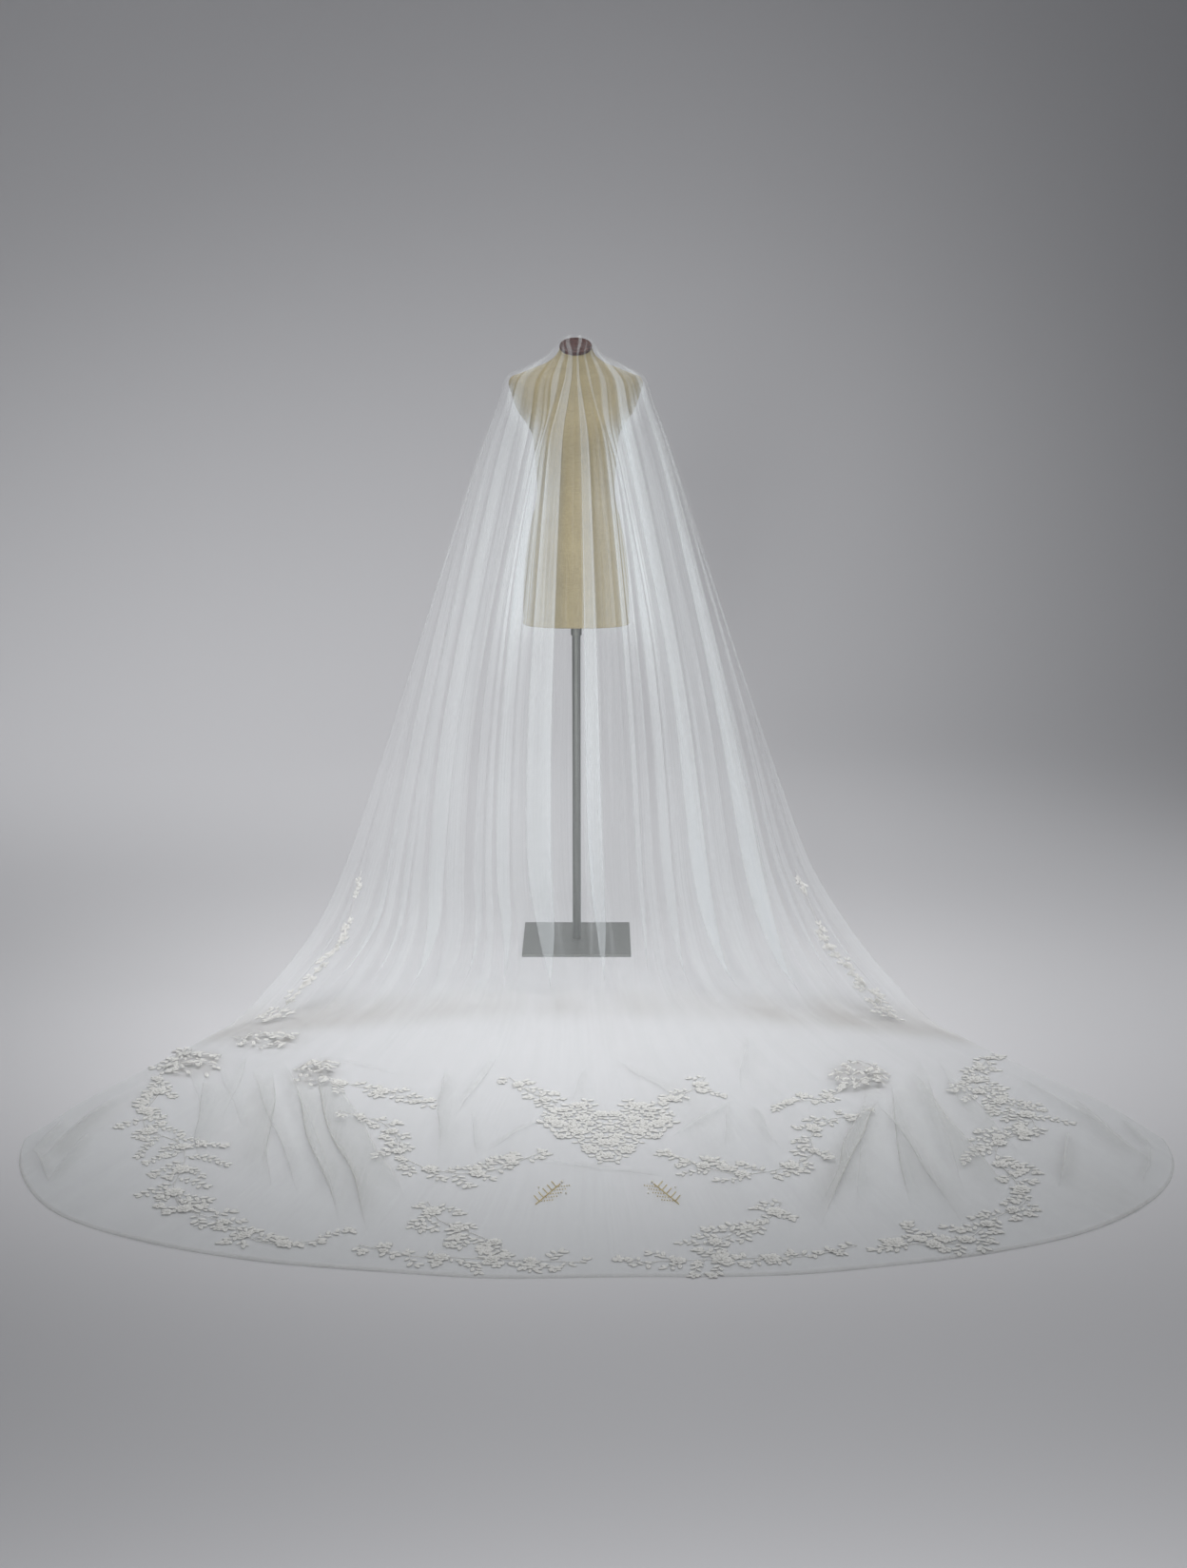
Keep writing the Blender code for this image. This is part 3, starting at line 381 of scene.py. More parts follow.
def corded_lace():
    """Cotton lace with a raised cord round each petal: matt, a little greyer than the net. The
    filling between the cords is an open mesh, which with a leaf's underside hides four fifths."""
    made, tree, shader = new_material("corded_cotton_lace", Roughness=0.7, Sheen_Weight=0.35)
    thread = add_node(tree, "Attribute", attribute_name="thread").outputs["Fac"]
    place = add_node(tree, "TexCoord").outputs["Object"]
    # threads of the filling, 1.5 mm apart, drawn a little coarser than they are
    mesh = add_node(tree, "TexVoronoi", {"Vector": place, "Scale": 420.0}, feature="DISTANCE_TO_EDGE")
    # painted shade at the foot of each cord (0), the filling (0.5), and a painted highlight along the cord (1)
    tone = add_node(tree, "ValToRGB", {"Fac": thread})
    stops = tone.color_ramp.elements
    stops[0].position, stops[0].color = 0.0, srgb("#d9d8d4")
    stops[1].position, stops[1].color = 1.0, srgb("#f5f4f1")
    stops.new(0.5).color = srgb("#ececea")
    uneven = add_node(tree, "MapRange", {"Value": mesh.outputs["Distance"], "From Max": 0.5, "To Min": 1.0,
                                         "To Max": 0.94}).outputs["Result"]
    colour = add_node(tree, "HueSaturation", {"Color": tone.outputs["Color"], "Value": uneven})
    tree.links.new(colour.outputs["Color"], shader.inputs["Base Color"])
    bump = add_node(tree, "Bump", {"Height": mesh.outputs["Distance"], "Strength": 0.2, "Distance": 0.0006})
    tree.links.new(bump.outputs["Normal"], shader.inputs["Normal"])
    hidden = add_node(tree, "MapRange", {"Value": thread, "To Min": 0.45, "To Max": 0.85})
    tree.links.new(hidden.outputs["Result"], shader.inputs["Alpha"])
    return made


def cream_linen():
    """Plain-woven linen, glued over the form: matt, with thick and thin yarns."""
    made, tree, shader = new_material("cream_woven_linen", Roughness=0.88, Sheen_Weight=0.1)
    place = add_node(tree, "TexCoord").outputs["Object"]
    # yarns 0.7 mm apart, drawn 2 mm apart so that they show
    across = add_node(tree, "Mapping", {"Vector": place, "Scale": (60, 60, 480)}).outputs["Vector"]
    along = add_node(tree, "Mapping", {"Vector": place, "Scale": (480, 480, 60)}).outputs["Vector"]
    weft = add_node(tree, "TexNoise", {"Vector": across, "Scale": 1.0, "Detail": 1.0}).outputs["Fac"]
    warp = add_node(tree, "TexNoise", {"Vector": along, "Scale": 1.0, "Detail": 1.0}).outputs["Fac"]
    yarns = add_node(tree, "Math", {0: weft, 1: warp}, operation="ADD").outputs["Value"]
    cloud = add_node(tree, "TexNoise", {"Vector": place, "Scale": 9.0, "Detail": 3.0}).outputs["Fac"]
    tone = add_node(tree, "Math", {0: yarns, 1: cloud}, operation="ADD").outputs["Value"]
    share = add_node(tree, "MapRange", {"Value": tone, "From Min": 1.1, "From Max": 1.9}).outputs["Result"]
    colour = ramp_between(tree, share, srgb("#968965"), srgb("#afa17a"))
    # painted shade: darker from the bust up, over the shoulders
    height = add_node(tree, "SeparateXYZ", {"Vector": place}).outputs["Z"]
    shaded_above_bust = add_node(tree, "MapRange", {"Value": height, "From Min": 1.50, "From Max": 1.63, "To Min": 1.0,
                                       "To Max": 0.86}).outputs["Result"]
    toned = add_node(tree, "HueSaturation", {"Color": colour, "Value": shaded_above_bust})
    tree.links.new(toned.outputs["Color"], shader.inputs["Base Color"])
    bump = add_node(tree, "Bump", {"Height": yarns, "Strength": 0.35, "Distance": 0.0005})
    tree.links.new(bump.outputs["Normal"], shader.inputs["Normal"])
    return made


def varnished_mahogany():
    """Turned mahogany under a clear varnish: deep red-brown, with fine dark pores."""
    made, tree, shader = new_material("varnished_mahogany", Roughness=0.5, Specular_IOR_Level=0.15,
                                      Coat_Weight=0.04)
    place = add_node(tree, "TexCoord").outputs["Object"]
    # grain lines 2 to 3 mm apart that run front to back
    grain = add_node(tree, "Mapping", {"Vector": place, "Scale": (420, 26, 420)}).outputs["Vector"]
    lines = add_node(tree, "TexNoise", {"Vector": grain, "Scale": 1.0, "Detail": 4.0}).outputs["Fac"]
    tree.links.new(ramp_between(tree, lines, srgb("#240a06"), srgb("#561c13"), 0.35, 0.7),
                   shader.inputs["Base Color"])
    return made


def brushed_steel(name, scale, low, high):
    """Mild steel sheet and tube, brushed and waxed: grey, with fine lines along the brushing.
    The lines are 0.3 mm apart, drawn 1 mm apart."""
    made, tree, shader = new_material(name, Metallic=0.85)
    place = add_node(tree, "TexCoord").outputs["Object"]
    lines_at = add_node(tree, "Mapping", {"Vector": place, "Scale": scale}).outputs["Vector"]
    lines = add_node(tree, "TexNoise", {"Vector": lines_at, "Scale": 1.0, "Detail": 3.0}).outputs["Fac"]
    tree.links.new(ramp_between(tree, lines, srgb(low), srgb(high), 0.3, 0.7),
                   shader.inputs["Base Color"])
    rough = add_node(tree, "MapRange", {"Value": lines, "To Min": 0.42, "To Max": 0.58})
    tree.links.new(rough.outputs["Result"], shader.inputs["Roughness"])
    bump = add_node(tree, "Bump", {"Height": lines, "Strength": 0.12, "Distance": 0.0003})
    tree.links.new(bump.outputs["Normal"], shader.inputs["Normal"])
    return made


def satin_ribbon():
    """Polyester satin: smooth floats of yarn along its length give a soft sheen."""
    made, tree, shader = new_material("white_satin_ribbon", Roughness=0.35, Sheen_Weight=0.3)
    place = add_node(tree, "TexCoord").outputs["Object"]
    # floats 0.2 mm apart, drawn 1 mm apart so that they show
    floats_at = add_node(tree, "Mapping", {"Vector": place, "Scale": (90, 900, 900)}).outputs["Vector"]
    floats = add_node(tree, "TexNoise", {"Vector": floats_at, "Scale": 1.0, "Detail": 1.0}).outputs["Fac"]
    tree.links.new(ramp_between(tree, floats, srgb("#dcdde0"), srgb("#f4f4f5")), shader.inputs["Base Color"])
    return made


def clear_plastic():
    """Injection-moulded clear acrylic, faintly milky where it was handled."""
    made, tree, shader = new_material("clear_moulded_acrylic", Transmission_Weight=0.75, IOR=1.49)
    shader.inputs["Base Color"].default_value = srgb("#eef0f0")
    place = add_node(tree, "TexCoord").outputs["Object"]
    # patches about 6 mm across
    haze = add_node(tree, "TexNoise", {"Vector": place, "Scale": 160.0}).outputs["Fac"]
    rough = add_node(tree, "MapRange", {"Value": haze, "To Min": 0.10, "To Max": 0.30})
    tree.links.new(rough.outputs["Result"], shader.inputs["Roughness"])
    return made


def glass_bead(name, low, high, metal):
    """Small cut beads with a metallised or pearl lining, so each gives a bright point."""
    made, tree, shader = new_material(name, Roughness=0.25, Metallic=metal, Coat_Weight=0.5)
    place = add_node(tree, "TexCoord").outputs["Object"]
    # the lining's tone changes over about 10 mm, so from bead to bead
    lots = add_node(tree, "TexNoise", {"Vector": place, "Scale": 90.0}).outputs["Fac"]
    tree.links.new(ramp_between(tree, lots, srgb(low), srgb(high), 0.3, 0.7), shader.inputs["Base Color"])
    return made


def studio_paper():
    """Matt background paper, pale grey."""
    made, tree, shader = new_material("matt_studio_paper", Roughness=0.95)
    shader.inputs["Base Color"].default_value = srgb("#d2d2d5")
    return made


# Making pieces, and the parts that the meshes of cloth and lace share
def mesh_piece(name, points, faces, material):
    """A piece of cloth or thread made straight from its points."""
    mesh = bpy.data.meshes.new(name)
    mesh.from_pydata([tuple(p) for p in points], [], faces)
    mesh.materials.append(material)
    piece = bpy.data.objects.new(name, mesh)
    bpy.context.scene.collection.objects.link(piece)
    mesh.shade_smooth()
    return piece


def closed_wall(first, far, rows, wide):
    """Faces of a thin wall between two like grids of points, which start at first and at far."""
    faces = []
    for r in range(rows - 1):
        for c in range(wide - 1):
            a = r * wide + c
            b, d, e = a + 1, a + wide, a + wide + 1
            faces += [(first + a, first + d, first + e, first + b), (far + a, far + b, far + e, far + d)]
    rim = grid_rim(rows, wide)
    faces += [(first + a, first + b, far + b, far + a) for a, b in zip(rim, rim[1:] + rim[:1])]
    return faces


def grid_rim(rows, wide):
    """The points round the edge of a grid, in order."""
    there = [c for c in range(wide)] + [r * wide + wide - 1 for r in range(1, rows)]
    back = [(rows - 1) * wide + c for c in range(wide - 2, -1, -1)] + [r * wide for r in range(rows - 2, 0, -1)]
    return there + back


def store(piece, **columns):
    """Keeps numbers for the material at each point of a piece."""
    for name, values in columns.items():
        piece.data.attributes.new(name, "FLOAT", "POINT").data.foreach_set("value", values)


def face_out(piece):
    """Turns the faces of a closed piece to point out."""
    work = bmesh.new()
    work.from_mesh(piece.data)
    bmesh.ops.recalc_face_normals(work, faces=work.faces)
    work.to_mesh(piece.data)
    work.free()
    return piece


def deselect():
    if bpy.context.object and bpy.context.object.mode != "OBJECT":
        bpy.ops.object.mode_set(mode="OBJECT")
    bpy.ops.object.select_all(action="DESELECT")


def select_edges(piece, wanted):
    """In edit mode, selects only the edges whose ends are both where wanted says."""
    bpy.ops.mesh.select_mode(type="EDGE")
    bpy.ops.mesh.select_all(action="DESELECT")
    work = bmesh.from_edit_mesh(piece.data)
    for edge in work.edges:
        if all(wanted(v.co) for v in edge.verts):
            edge.select_set(True)
    bmesh.update_edit_mesh(piece.data)


def settle(piece, name, material):
    """Puts the place of a modelled piece into its mesh, and names it."""
    deselect()
    piece.select_set(True)
    bpy.context.view_layer.objects.active = piece
    bpy.ops.object.transform_apply(location=True, rotation=True, scale=True)
    piece.name = piece.data.name = name
    piece.data.materials.clear()
    piece.data.materials.append(material)
    return piece


def lofted(name, rings, material, angle=40):
    """A circle that is extruded from ring to ring, each new ring laid on its points, and closed."""
    deselect()
    bpy.ops.mesh.primitive_circle_add(vertices=len(rings[0]), radius=0.1)
    piece = bpy.context.object
    for vertex, point in zip(piece.data.vertices, rings[0]):
        vertex.co = point
    bpy.ops.object.mode_set(mode="EDIT")
    bpy.ops.mesh.select_all(action="SELECT")
    bpy.ops.mesh.edge_face_add()
    for before, ring in zip(rings, rings[1:]):
        bpy.ops.mesh.extrude_region_move()
        work = bmesh.from_edit_mesh(piece.data)
        # each extruded point goes to the point of the next ring that follows the one it stood on
        for vertex in [v for v in work.verts if v.select]:
            nearest = min(range(len(before)), key=lambda k: (before[k] - vertex.co).length_squared)
            vertex.co = ring[nearest]
        bmesh.update_edit_mesh(piece.data)
    bpy.ops.mesh.select_all(action="SELECT")
    bpy.ops.mesh.normals_make_consistent(inside=False)
    bpy.ops.object.mode_set(mode="OBJECT")
    bpy.ops.object.shade_smooth_by_angle(angle=math.radians(angle))
    return settle(piece, name, material)


# Dress form and stand
def build_form(material):
    """The torso, with its seams sunk a little and a bound lower edge."""
    rings = []
    stations = BOUND_EDGE + [(k / FORM_STEPS, 0.0) for k in range(1, FORM.last * FORM_STEPS + 1)]
    for step, (place, tuck) in enumerate(stations):
        level = FORM.at(place)
        middle, depth = (level["front"] + level["back"]) / 2, (level["back"] - level["front"]) / 2
        lean = math.radians(level["lean"])
        ring = []
        for column in range(FORM_COLUMNS):
            angle = 2 * math.pi * column / FORM_COLUMNS
            sunk = column in FORM_SEAMS and step >= len(BOUND_EDGE)
            inset = tuck + (SEAM_DEPTH if sunk else 0.0)
            x = (level["half"] - inset) * power(math.cos(angle), 2 / level["square"])
            away = (depth - inset) * power(math.sin(angle), 2 / level["square"])
            ring.append(Vector((x, middle + away * math.cos(lean), level["z"] + away * math.sin(lean))))
        rings.append(ring)
    return lofted("linen_form", rings, material, angle=60)


def build_cap(material):
    """Turned cap on the leaning neck: rounded rim, shallow ring and a small middle dimple."""
    top = FORM.at(FORM.last)
    middle = Vector((0, (top["front"] + top["back"]) / 2, top["z"] + GAP))
    profile = [(0.040, 0.0), (0.0445, 0.0008), (CAP_RADIUS, 0.0030), (CAP_RADIUS, 0.0070), (0.0446, 0.0090),
               (0.0425, CAP_THICK), (0.0340, CAP_THICK), (0.0330, 0.0093), (0.0318, CAP_THICK),
               (0.0080, CAP_THICK), (0.0060, 0.0088), (0.0030, 0.0084)]
    turn = Matrix.Translation(middle) @ Euler((CAP_LEAN, 0, 0)).to_matrix().to_4x4()
    rings = [[turn @ Vector((radius * math.cos(a), radius * math.sin(a), height))
              for a in (2 * math.pi * k / 64 for k in range(64))] for radius, height in profile]
    return lofted("turned_cap", rings, material)


def build_band(material):
    """Folded satin ribbon over the gathered edge, with a stitched line near each border."""
    low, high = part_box("heading_band")
    deselect()
    bpy.ops.mesh.primitive_cube_add(size=1, location=(low + high) / 2, scale=high - low)
    band = bpy.context.object
    bpy.ops.object.transform_apply(location=False, rotation=False, scale=True)
    bpy.ops.object.mode_set(mode="EDIT")
    for height in STITCH_LINES:
        line = (0, (low.y + high.y) / 2, (low.z + high.z) / 2 + height)
        bpy.ops.mesh.select_all(action="SELECT")
        bpy.ops.mesh.bisect(plane_co=line, plane_no=(0, 0, 1))
    bpy.ops.mesh.select_all(action="SELECT")
    bpy.ops.mesh.bevel(offset=RIBBON_ROUND, segments=3, affect="EDGES")
    bpy.ops.object.mode_set(mode="OBJECT")
    bpy.ops.object.shade_smooth_by_angle(angle=math.radians(50))
    return settle(band, "ribbon_band", material)


# Tulle
def push_clear(point):
    """Moves a point of the net out of the form, level with itself."""
    place = FORM.place_of("z", point.z)
    if place is None:
        return point
    level = FORM.at(round(place, 3))
    middle, depth = (level["front"] + level["back"]) / 2, (level["back"] - level["front"]) / 2
    x, y = point.x / (level["half"] + REST_CLEAR), (point.y - middle) / (depth + REST_CLEAR)
    reach = (abs(x) ** level["square"] + abs(y) ** level["square"]) ** (1 / level["square"])
    return point if reach >= 1 else Vector((point.x / reach, middle + (point.y - middle) / reach, point.z))


def drape(u, place):
    """The smooth form of the tulle: u runs from the left side edge (-1) to the right one (1)."""
    s = VEIL.at(place)
    angle = u * math.pi / 2
    across = (1 - s["flat"]) * power(math.sin(angle), 2 / s["square"]) + s["flat"] * u
    round_part = 1 - max(math.cos(angle), 0.0) ** (2 / s["square"])
    back = (1 - s["flat"]) * round_part + s["flat"] * u * u
    point = Vector((s["shift"] + s["half"] * across, mix(s["front_y"], s["edge_y"], back),
                    mix(s["front_z"], s["edge_z"], back)))
    return push_clear(point) if s["floor"] < 1 else point


def outward(u, place):
    """The side of the smooth form that faces away from the stand, or up on the floor."""
    small = 0.01
    across = drape(min(u + small, 1), place) - drape(max(u - small, -1), place)
    down = drape(u, min(place + small, VEIL.last)) - drape(u, max(place - small, 0))
    return across.cross(down).normalized() * -1


def folded_columns():
    """Each column of the net: its place across when folded, its depth, its strip's density, and
    that density with what the turns add to it or take from it."""
    columns, here = [(-1.0, 0.0, 1.0, GAP_WEIGHT)], -1.0
    for start, end, faces, depth, short, dense, crisp in STRIPS:
        columns += [(mix(here, start, k / GAP_FACES), 0.0, 1.0, GAP_WEIGHT) for k in range(1, GAP_FACES)]
        back = mix(start, end, short)
        for layer, (a, b) in enumerate(((start, end), (end, back), (back, end))):
            for k in range(faces):
                t = k / faces
                turn = max(1 - 3 * t, 3 * t - 2, 0.0)
                level = (layer - 1 + smooth(t)) / 2 if layer else 0.0
                across = (math.sin(math.pi * (t - 0.5)) + 1) / 2
                weight = STRIP_WEIGHT * dense * (1 + (1.6 * crisp - 0.7) * turn)
                columns.append((mix(a, b, across), depth * level, dense, weight))
        here = end
        columns.append((end, depth * 0.9, dense, STRIP_WEIGHT * dense * (0.4 + 0.9 * crisp)))
    columns += [(mix(here, 1.0, k / GAP_FACES), 0.0, 1.0, GAP_WEIGHT) for k in range(1, GAP_FACES)]
    columns.append((1.0, 0.0, 1.0, GAP_WEIGHT))
    return columns


def hung(u, place):
    """Where a column lies across at a place: it moves out to the shoulders' ends higher up."""
    start = 4.5 + 2.0 * soft_step(abs(u), 0.2, 0.2)
    amount = soft_step(place, 1.5, 2) * (1 - smooth((place - start) / 2.5))
    return mix(u, math.copysign(SHOULDERS.at(round(abs(u) * 10, 3))["place"], u), amount)


@lru_cache(maxsize=None)
def fold_lines():
    """The folds, each with the box of the plan that it lies in."""
    lines = []
    for start, end, height, half, shade in FOLDS:
        room = abs(half) * 2
        west, east = min(start[0], end[0]) - room, max(start[0], end[0]) + room
        south, north = min(start[1], end[1]) - room, max(start[1], end[1]) + room
        lines.append((start, end, height, half, shade, west, east, south, north))
    return lines


def lying(x, y):
    """The net on the floor: its height there, and how much it shades itself."""
    height, shade = 0.0, 0.0
    for start, end, rise, half, dark, west, east, south, north in fold_lines():
        if not (west < x < east and south < y < north):
            continue
        away, gone = to_line(x, y, start, end)
        side = (end[0] - start[0]) * (y - start[1]) - (end[1] - start[1]) * (x - start[0])
        steep = side * half < 0
        reach = abs(half) * (0.7 if steep else 1.6) * (0.45 + 0.55 * smooth(gone * 2.5))
        if away < reach:
            fade = smooth(gone * 6) * smooth((1 - gone) * 3)
            height = max(height, rise * fade * math.cos(math.pi / 2 * away / reach) ** 2)
            shade = max(shade, 0.35 * dark * fade * (1 - away / reach))
    for _, (cx, cy), (rx, ry), top in BUNCHES:
        out = math.hypot((x - cx) / rx, (y - cy) / ry)
        if out < BUNCH_SPREAD:
            rough = noise.noise(Vector((x * 55, y * 55, 4.0)))
            dome = smooth(BUNCH_SPREAD - out)
            height = max(height, top * dome * (0.75 + 0.5 * rough))
            shade = max(shade, 0.55 * dome * (0.6 + rough))
    turn = math.atan2(x - FAN_MIDDLE[0], -(y - FAN_MIDDLE[1]))
    away = math.hypot(x - FAN_MIDDLE[0], y - FAN_MIDDLE[1])
    fan = noise.noise(Vector((turn * 15, away * 1.1, 3.0)))
    fan += 0.5 * noise.noise(Vector((turn * 42, away * 2.4, 9.0)))
    height += FAN_HEIGHT * max(fan, -0.3) * smooth((away - 1.75) * 2.5) + 0.0007
    return height, shade + 0.10 * max(fan, 0.0)


def lace_calm(x, y):
    """0 on the lace, where the net lies quiet under it, and 1 away from it."""
    nearest = min(to_line(x, y, a, b)[0] for _, route in GARLANDS for a, b in zip(route, route[1:]))
    return smooth((nearest - 0.05) / 0.10)


def pleat_wave(u, place):
    """The uneven swell of the pleats across the net."""
    broad = noise.noise(Vector((u * 9.0, place * 0.35, 1.0)))
    return broad + 0.6 * noise.noise(Vector((u * 24.0, place * 0.5, 5.0)))


def net_point(column, count, index, place):
    """The middle of the net at a column and a place down it, and how much it shades itself."""
    folded, depth, _, _ = column
    s = VEIL.at(place)
    opened = 2 * index / (count - 1) - 1
    share = smooth(s["open"])
    u = mix(hung(folded, place), opened, share)
    base = drape(u, place)
    on_floor = min(max(s["floor"], 0.0), 1.0)
    side = Vector((0, 0, 1)) if on_floor >= 1 else outward(u, place)
    wave = pleat_wave(u, place)
    strand = noise.noise(Vector((u * 75.0, place * 0.8, 2.0)))
    height = s["pleat"] * (0.55 + 0.9 * wave + 0.10 * strand)
    height = max(height, 0.0) + depth * min(1.0, s["pleat"] / FULL_PLEAT) * (1 - share)
    # where the net comes down to the floor it hangs in its own shade
    landing = soft_step(place, 13.2, 0.45) * smooth((14.6 - place) / 0.45)
    landing *= mix(0.28, 0.50, soft_step(abs(opened), 0.35, 0.3)) + 0.20 * wave
    if on_floor >= 1:
        low, shade = lying(base.x, base.y)
        wave_out = noise.noise(Vector((base.x * 3.1, base.y * 3.1, 7.0)))
        edge = smooth((place - 16.5) * 2) * HEM_WANDER * wave_out
        away = Vector((base.x - 0.05, base.y + 1.2, 0)).normalized()
        spot = base + away * edge
        return (Vector((spot.x, spot.y, CLOTH_LIFT + height * lace_calm(base.x, base.y) + low)),
                max(shade, landing))
    low = CLOTH_LIFT + lying(base.x, base.y)[0] if on_floor > 0 else 0.0
    return base + side * height + Vector((0, 0, low * on_floor)), max(landing, 0.0)


@lru_cache(maxsize=None)
def form_edge(place):
    """How far out across a section the form's side is seen through the net, or None below it."""
    s = VEIL.at(place)
    level = FORM.place_of("z", mix(s["front_z"], s["edge_z"], 0.3))
    if level is None:
        return None
    share = min(FORM.at(round(level, 3))["half"] / s["half"], 1.0)
    return math.asin(share ** (s["square"] / 2)) * 2 / math.pi


def form_side(u, place):
    """More net where it gathers against the sides of the form, from the shoulders down."""
    edge = form_edge(place)
    if edge is None:
        return 0.0
    away = (abs(u) - edge) / FORM_SIDE_WIDE
    return 1.3 * math.exp(-away * away) * soft_step(place, 3.6, 1.2) * (1 - soft_step(place, 8.0, 1.2))


def layer_veiling(u, place, dense, weight):
    """How much one layer hides: less over the shoulders and at the silhouette, where it is thin."""
    s = VEIL.at(place)
    hanging = 1 - smooth(s["open"])
    side = soft_step(abs(u), 0.12, 0.2)
    hood = 1 - 0.40 * side * (1 - soft_step(place, 1.0, 5.0))
    hood = mix(hood, 1.0, min(max((dense - 1) * 1.2, 0.0), 0.7))
    # the middle is smooth between its two strips, and the right side is gathered more
    middle = 1 - soft_step(abs(u), 0.10, 0.20)
    gather = mix(1.0, 0.55 if dense == 1.0 else 1.45, middle) * (1 + 0.18 * soft_step(u, 0.25, 0.2))
    # soft bundles come down over the sides of the bust and the waist
    bust = soft_step(place, 2.5, 1.5) * (1 - soft_step(place, 7.5, 2.0))
    crown = 1 + 1.2 * (1 - soft_step(place, 1.8, 1.5)) * soft_step(dense, 1.05, 0.1) * (abs(u) < 0.2)
    bundle = crown + bust * (0.20 * soft_step(dense, 1.05, 0.45) + 0.30 * soft_step(abs(u), 0.35, 0.2))
    waist = soft_step(place, 5.5, 1.2) * (1 - soft_step(place, 8.2, 0.9))
    bundle += 1.2 * waist * soft_step(abs(u), 0.17, 0.08) * (1 - soft_step(abs(u), 0.34, 0.12))
    bundle += form_side(u, place)
    rim = 1 - mix(0.90, 0.45, soft_step(place, 4.0, 3.0)) * hanging * soft_step(abs(u), 0.66, 0.2)
    cloud = 1 + 0.25 * noise.noise(Vector((u * 11.0, place * 0.4, 8.0)))
    return s["veiling"] * mix(1.0, weight * gather, hanging) * hood * bundle * rim * cloud


def each_skin(layer):
    """What each of a thin wall's two skins hides, so that both together hide what a layer does."""
    return 1 - math.sqrt(1 - min(layer, MOST_HIDDEN))


def build_tulle(material):
    """The net as one thin shell, with its cut laid out as a UV map in metres."""
    columns = folded_columns()
    count = len(columns)
    places = [row + k / steps for row, steps in enumerate(CLOTH_STEPS) for k in range(steps)]
    places += [VEIL.last - back for back in HEM_ROWS]
    grid = [[net_point(column, count, k, place) for k, column in enumerate(columns)] for place in places]
    middle = [[spot for spot, _ in row] for row in grid]
    rows = len(places)
    gone = [0.0]
    for above, below in zip(middle, middle[1:]):
        gone.append(gone[-1] + (below[count // 2] - above[count // 2]).length)
    points, veiling, shading, gathers = [[], []], [], [], []
    for r, row in enumerate(middle):
        place = places[r]
        hem = smooth((place - VEIL.last + HEM_ROWS[0]) / (HEM_ROWS[0] - HEM_ROWS[1]))
        for c, point in enumerate(row):
            across = row[min(c + 1, count - 1)] - row[max(c - 1, 0)]
            down = middle[min(r + 1, rows - 1)][c] - middle[max(r - 1, 0)][c]
            side = across.cross(down).normalized() * -1 * CLOTH_THICK / 2
            points[0].append(point + side)
            points[1].append(point - side)
            shade = grid[r][c][1]
            layer = layer_veiling(hung(columns[c][0], place), place, columns[c][2], columns[c][3])
            layer *= 1 + 0.5 * hem + 0.9 * shade
            veiling.append(each_skin(layer))
            # painted shade: greyer along the hem and where the net lies on the floor
            shading.append(min(shade + 0.20 * hem + 0.14 * smooth(place - 13.5), 1.0))
            gathers.append(1 - 0.88 * soft_step(place, 8.5, 5))
    far = rows * count
    piece = mesh_piece("tulle_net", points[0] + points[1], closed_wall(0, far, rows, count), material)
    store(piece, veiling=veiling * 2, shading=shading * 2, gathers=gathers * 2)
    cloth = piece.data.uv_layers.new(name="cloth")
    for loop in piece.data.loops:
        k = loop.vertex_index % far
        cloth.data[loop.index].uv = (k % count / (count - 1) * CUT_WIDE, gone[k // count])
    return piece


def build_folds(material):
    """Net that lies folded over itself on the train: strips with one clear edge, that merge into
    the net below at the other edge and at both ends."""
    points, faces, veiling, shading = [], [], [], []
    for number, (start, end, rise, half, dark) in enumerate(FOLDS):
        dx, dy = end[0] - start[0], end[1] - start[1]
        length = math.hypot(dx, dy)
        nx, ny = (-dy / length, dx / length) if half > 0 else (dy / length, -dx / length)
        first = len(points)
        for lower in (0, 1):
            for r in range(FOLD_ROWS):
                gone = r / (FOLD_ROWS - 1)
                fade = smooth(gone * 4) * smooth((1 - gone) * 3)
                sway = 0.35 * abs(half) * noise.noise(Vector((gone * 3.0, number * 7.3, 0.5)))
                for c in range(FOLD_WIDE):
                    share = c / (FOLD_WIDE - 1)
                    off = sway + abs(half) * (0.45 + 0.55 * smooth(gone * 2.5)) * (1.7 * share ** 1.4 - 0.3)
                    x, y = start[0] + dx * gone + nx * off, start[1] + dy * gone + ny * off
                    lift = FOLD_CLEAR + FOLD_LIFT * rise * fade * (1 - share) ** 2
                    points.append(on_train(x, y, lift - FOLD_THICK * lower))
                    turned = max(1 - 6 * share, 0.0)
                    layer = dark * fade * (0.65 + 0.70 * turned) * (1 - smooth(share))
                    veiling.append(each_skin(layer))
                    # painted shade, darkest along the fold's turned edge
                    shading.append(0.14 + dark * (0.35 + 0.35 * turned) * (1 - 0.5 * share))
        faces += closed_wall(first, first + FOLD_ROWS * FOLD_WIDE, FOLD_ROWS, FOLD_WIDE)
    piece = mesh_piece("tulle_folds", points, faces, material)
    store(piece, veiling=veiling, shading=shading, gathers=[0.5] * len(points))
    cloth = piece.data.uv_layers.new(name="cloth")
    for loop in piece.data.loops:
        spot = points[loop.vertex_index]
        cloth.data[loop.index].uv = (spot.x, -spot.y)
    return face_out(piece)


# Lace
# A leaf or petal across its width: place, height and a shade value, where 0 is the foot of the
# cord in painted shade, 0.5 the filling and 1 the cord with a painted highlight
LEAF_ACROSS = [(-1.0, 0.0, 0.0), (-0.72, 0.0008, 1.0), (0.0, 0.0003, 0.5), (0.72, 0.0008, 1.0), (1.0, 0.0, 0.0)]
LEAF_ROWS = [(0.0, 0.10), (0.22, 0.72), (0.52, 1.0), (0.82, 0.72), (1.0, 0.10)]


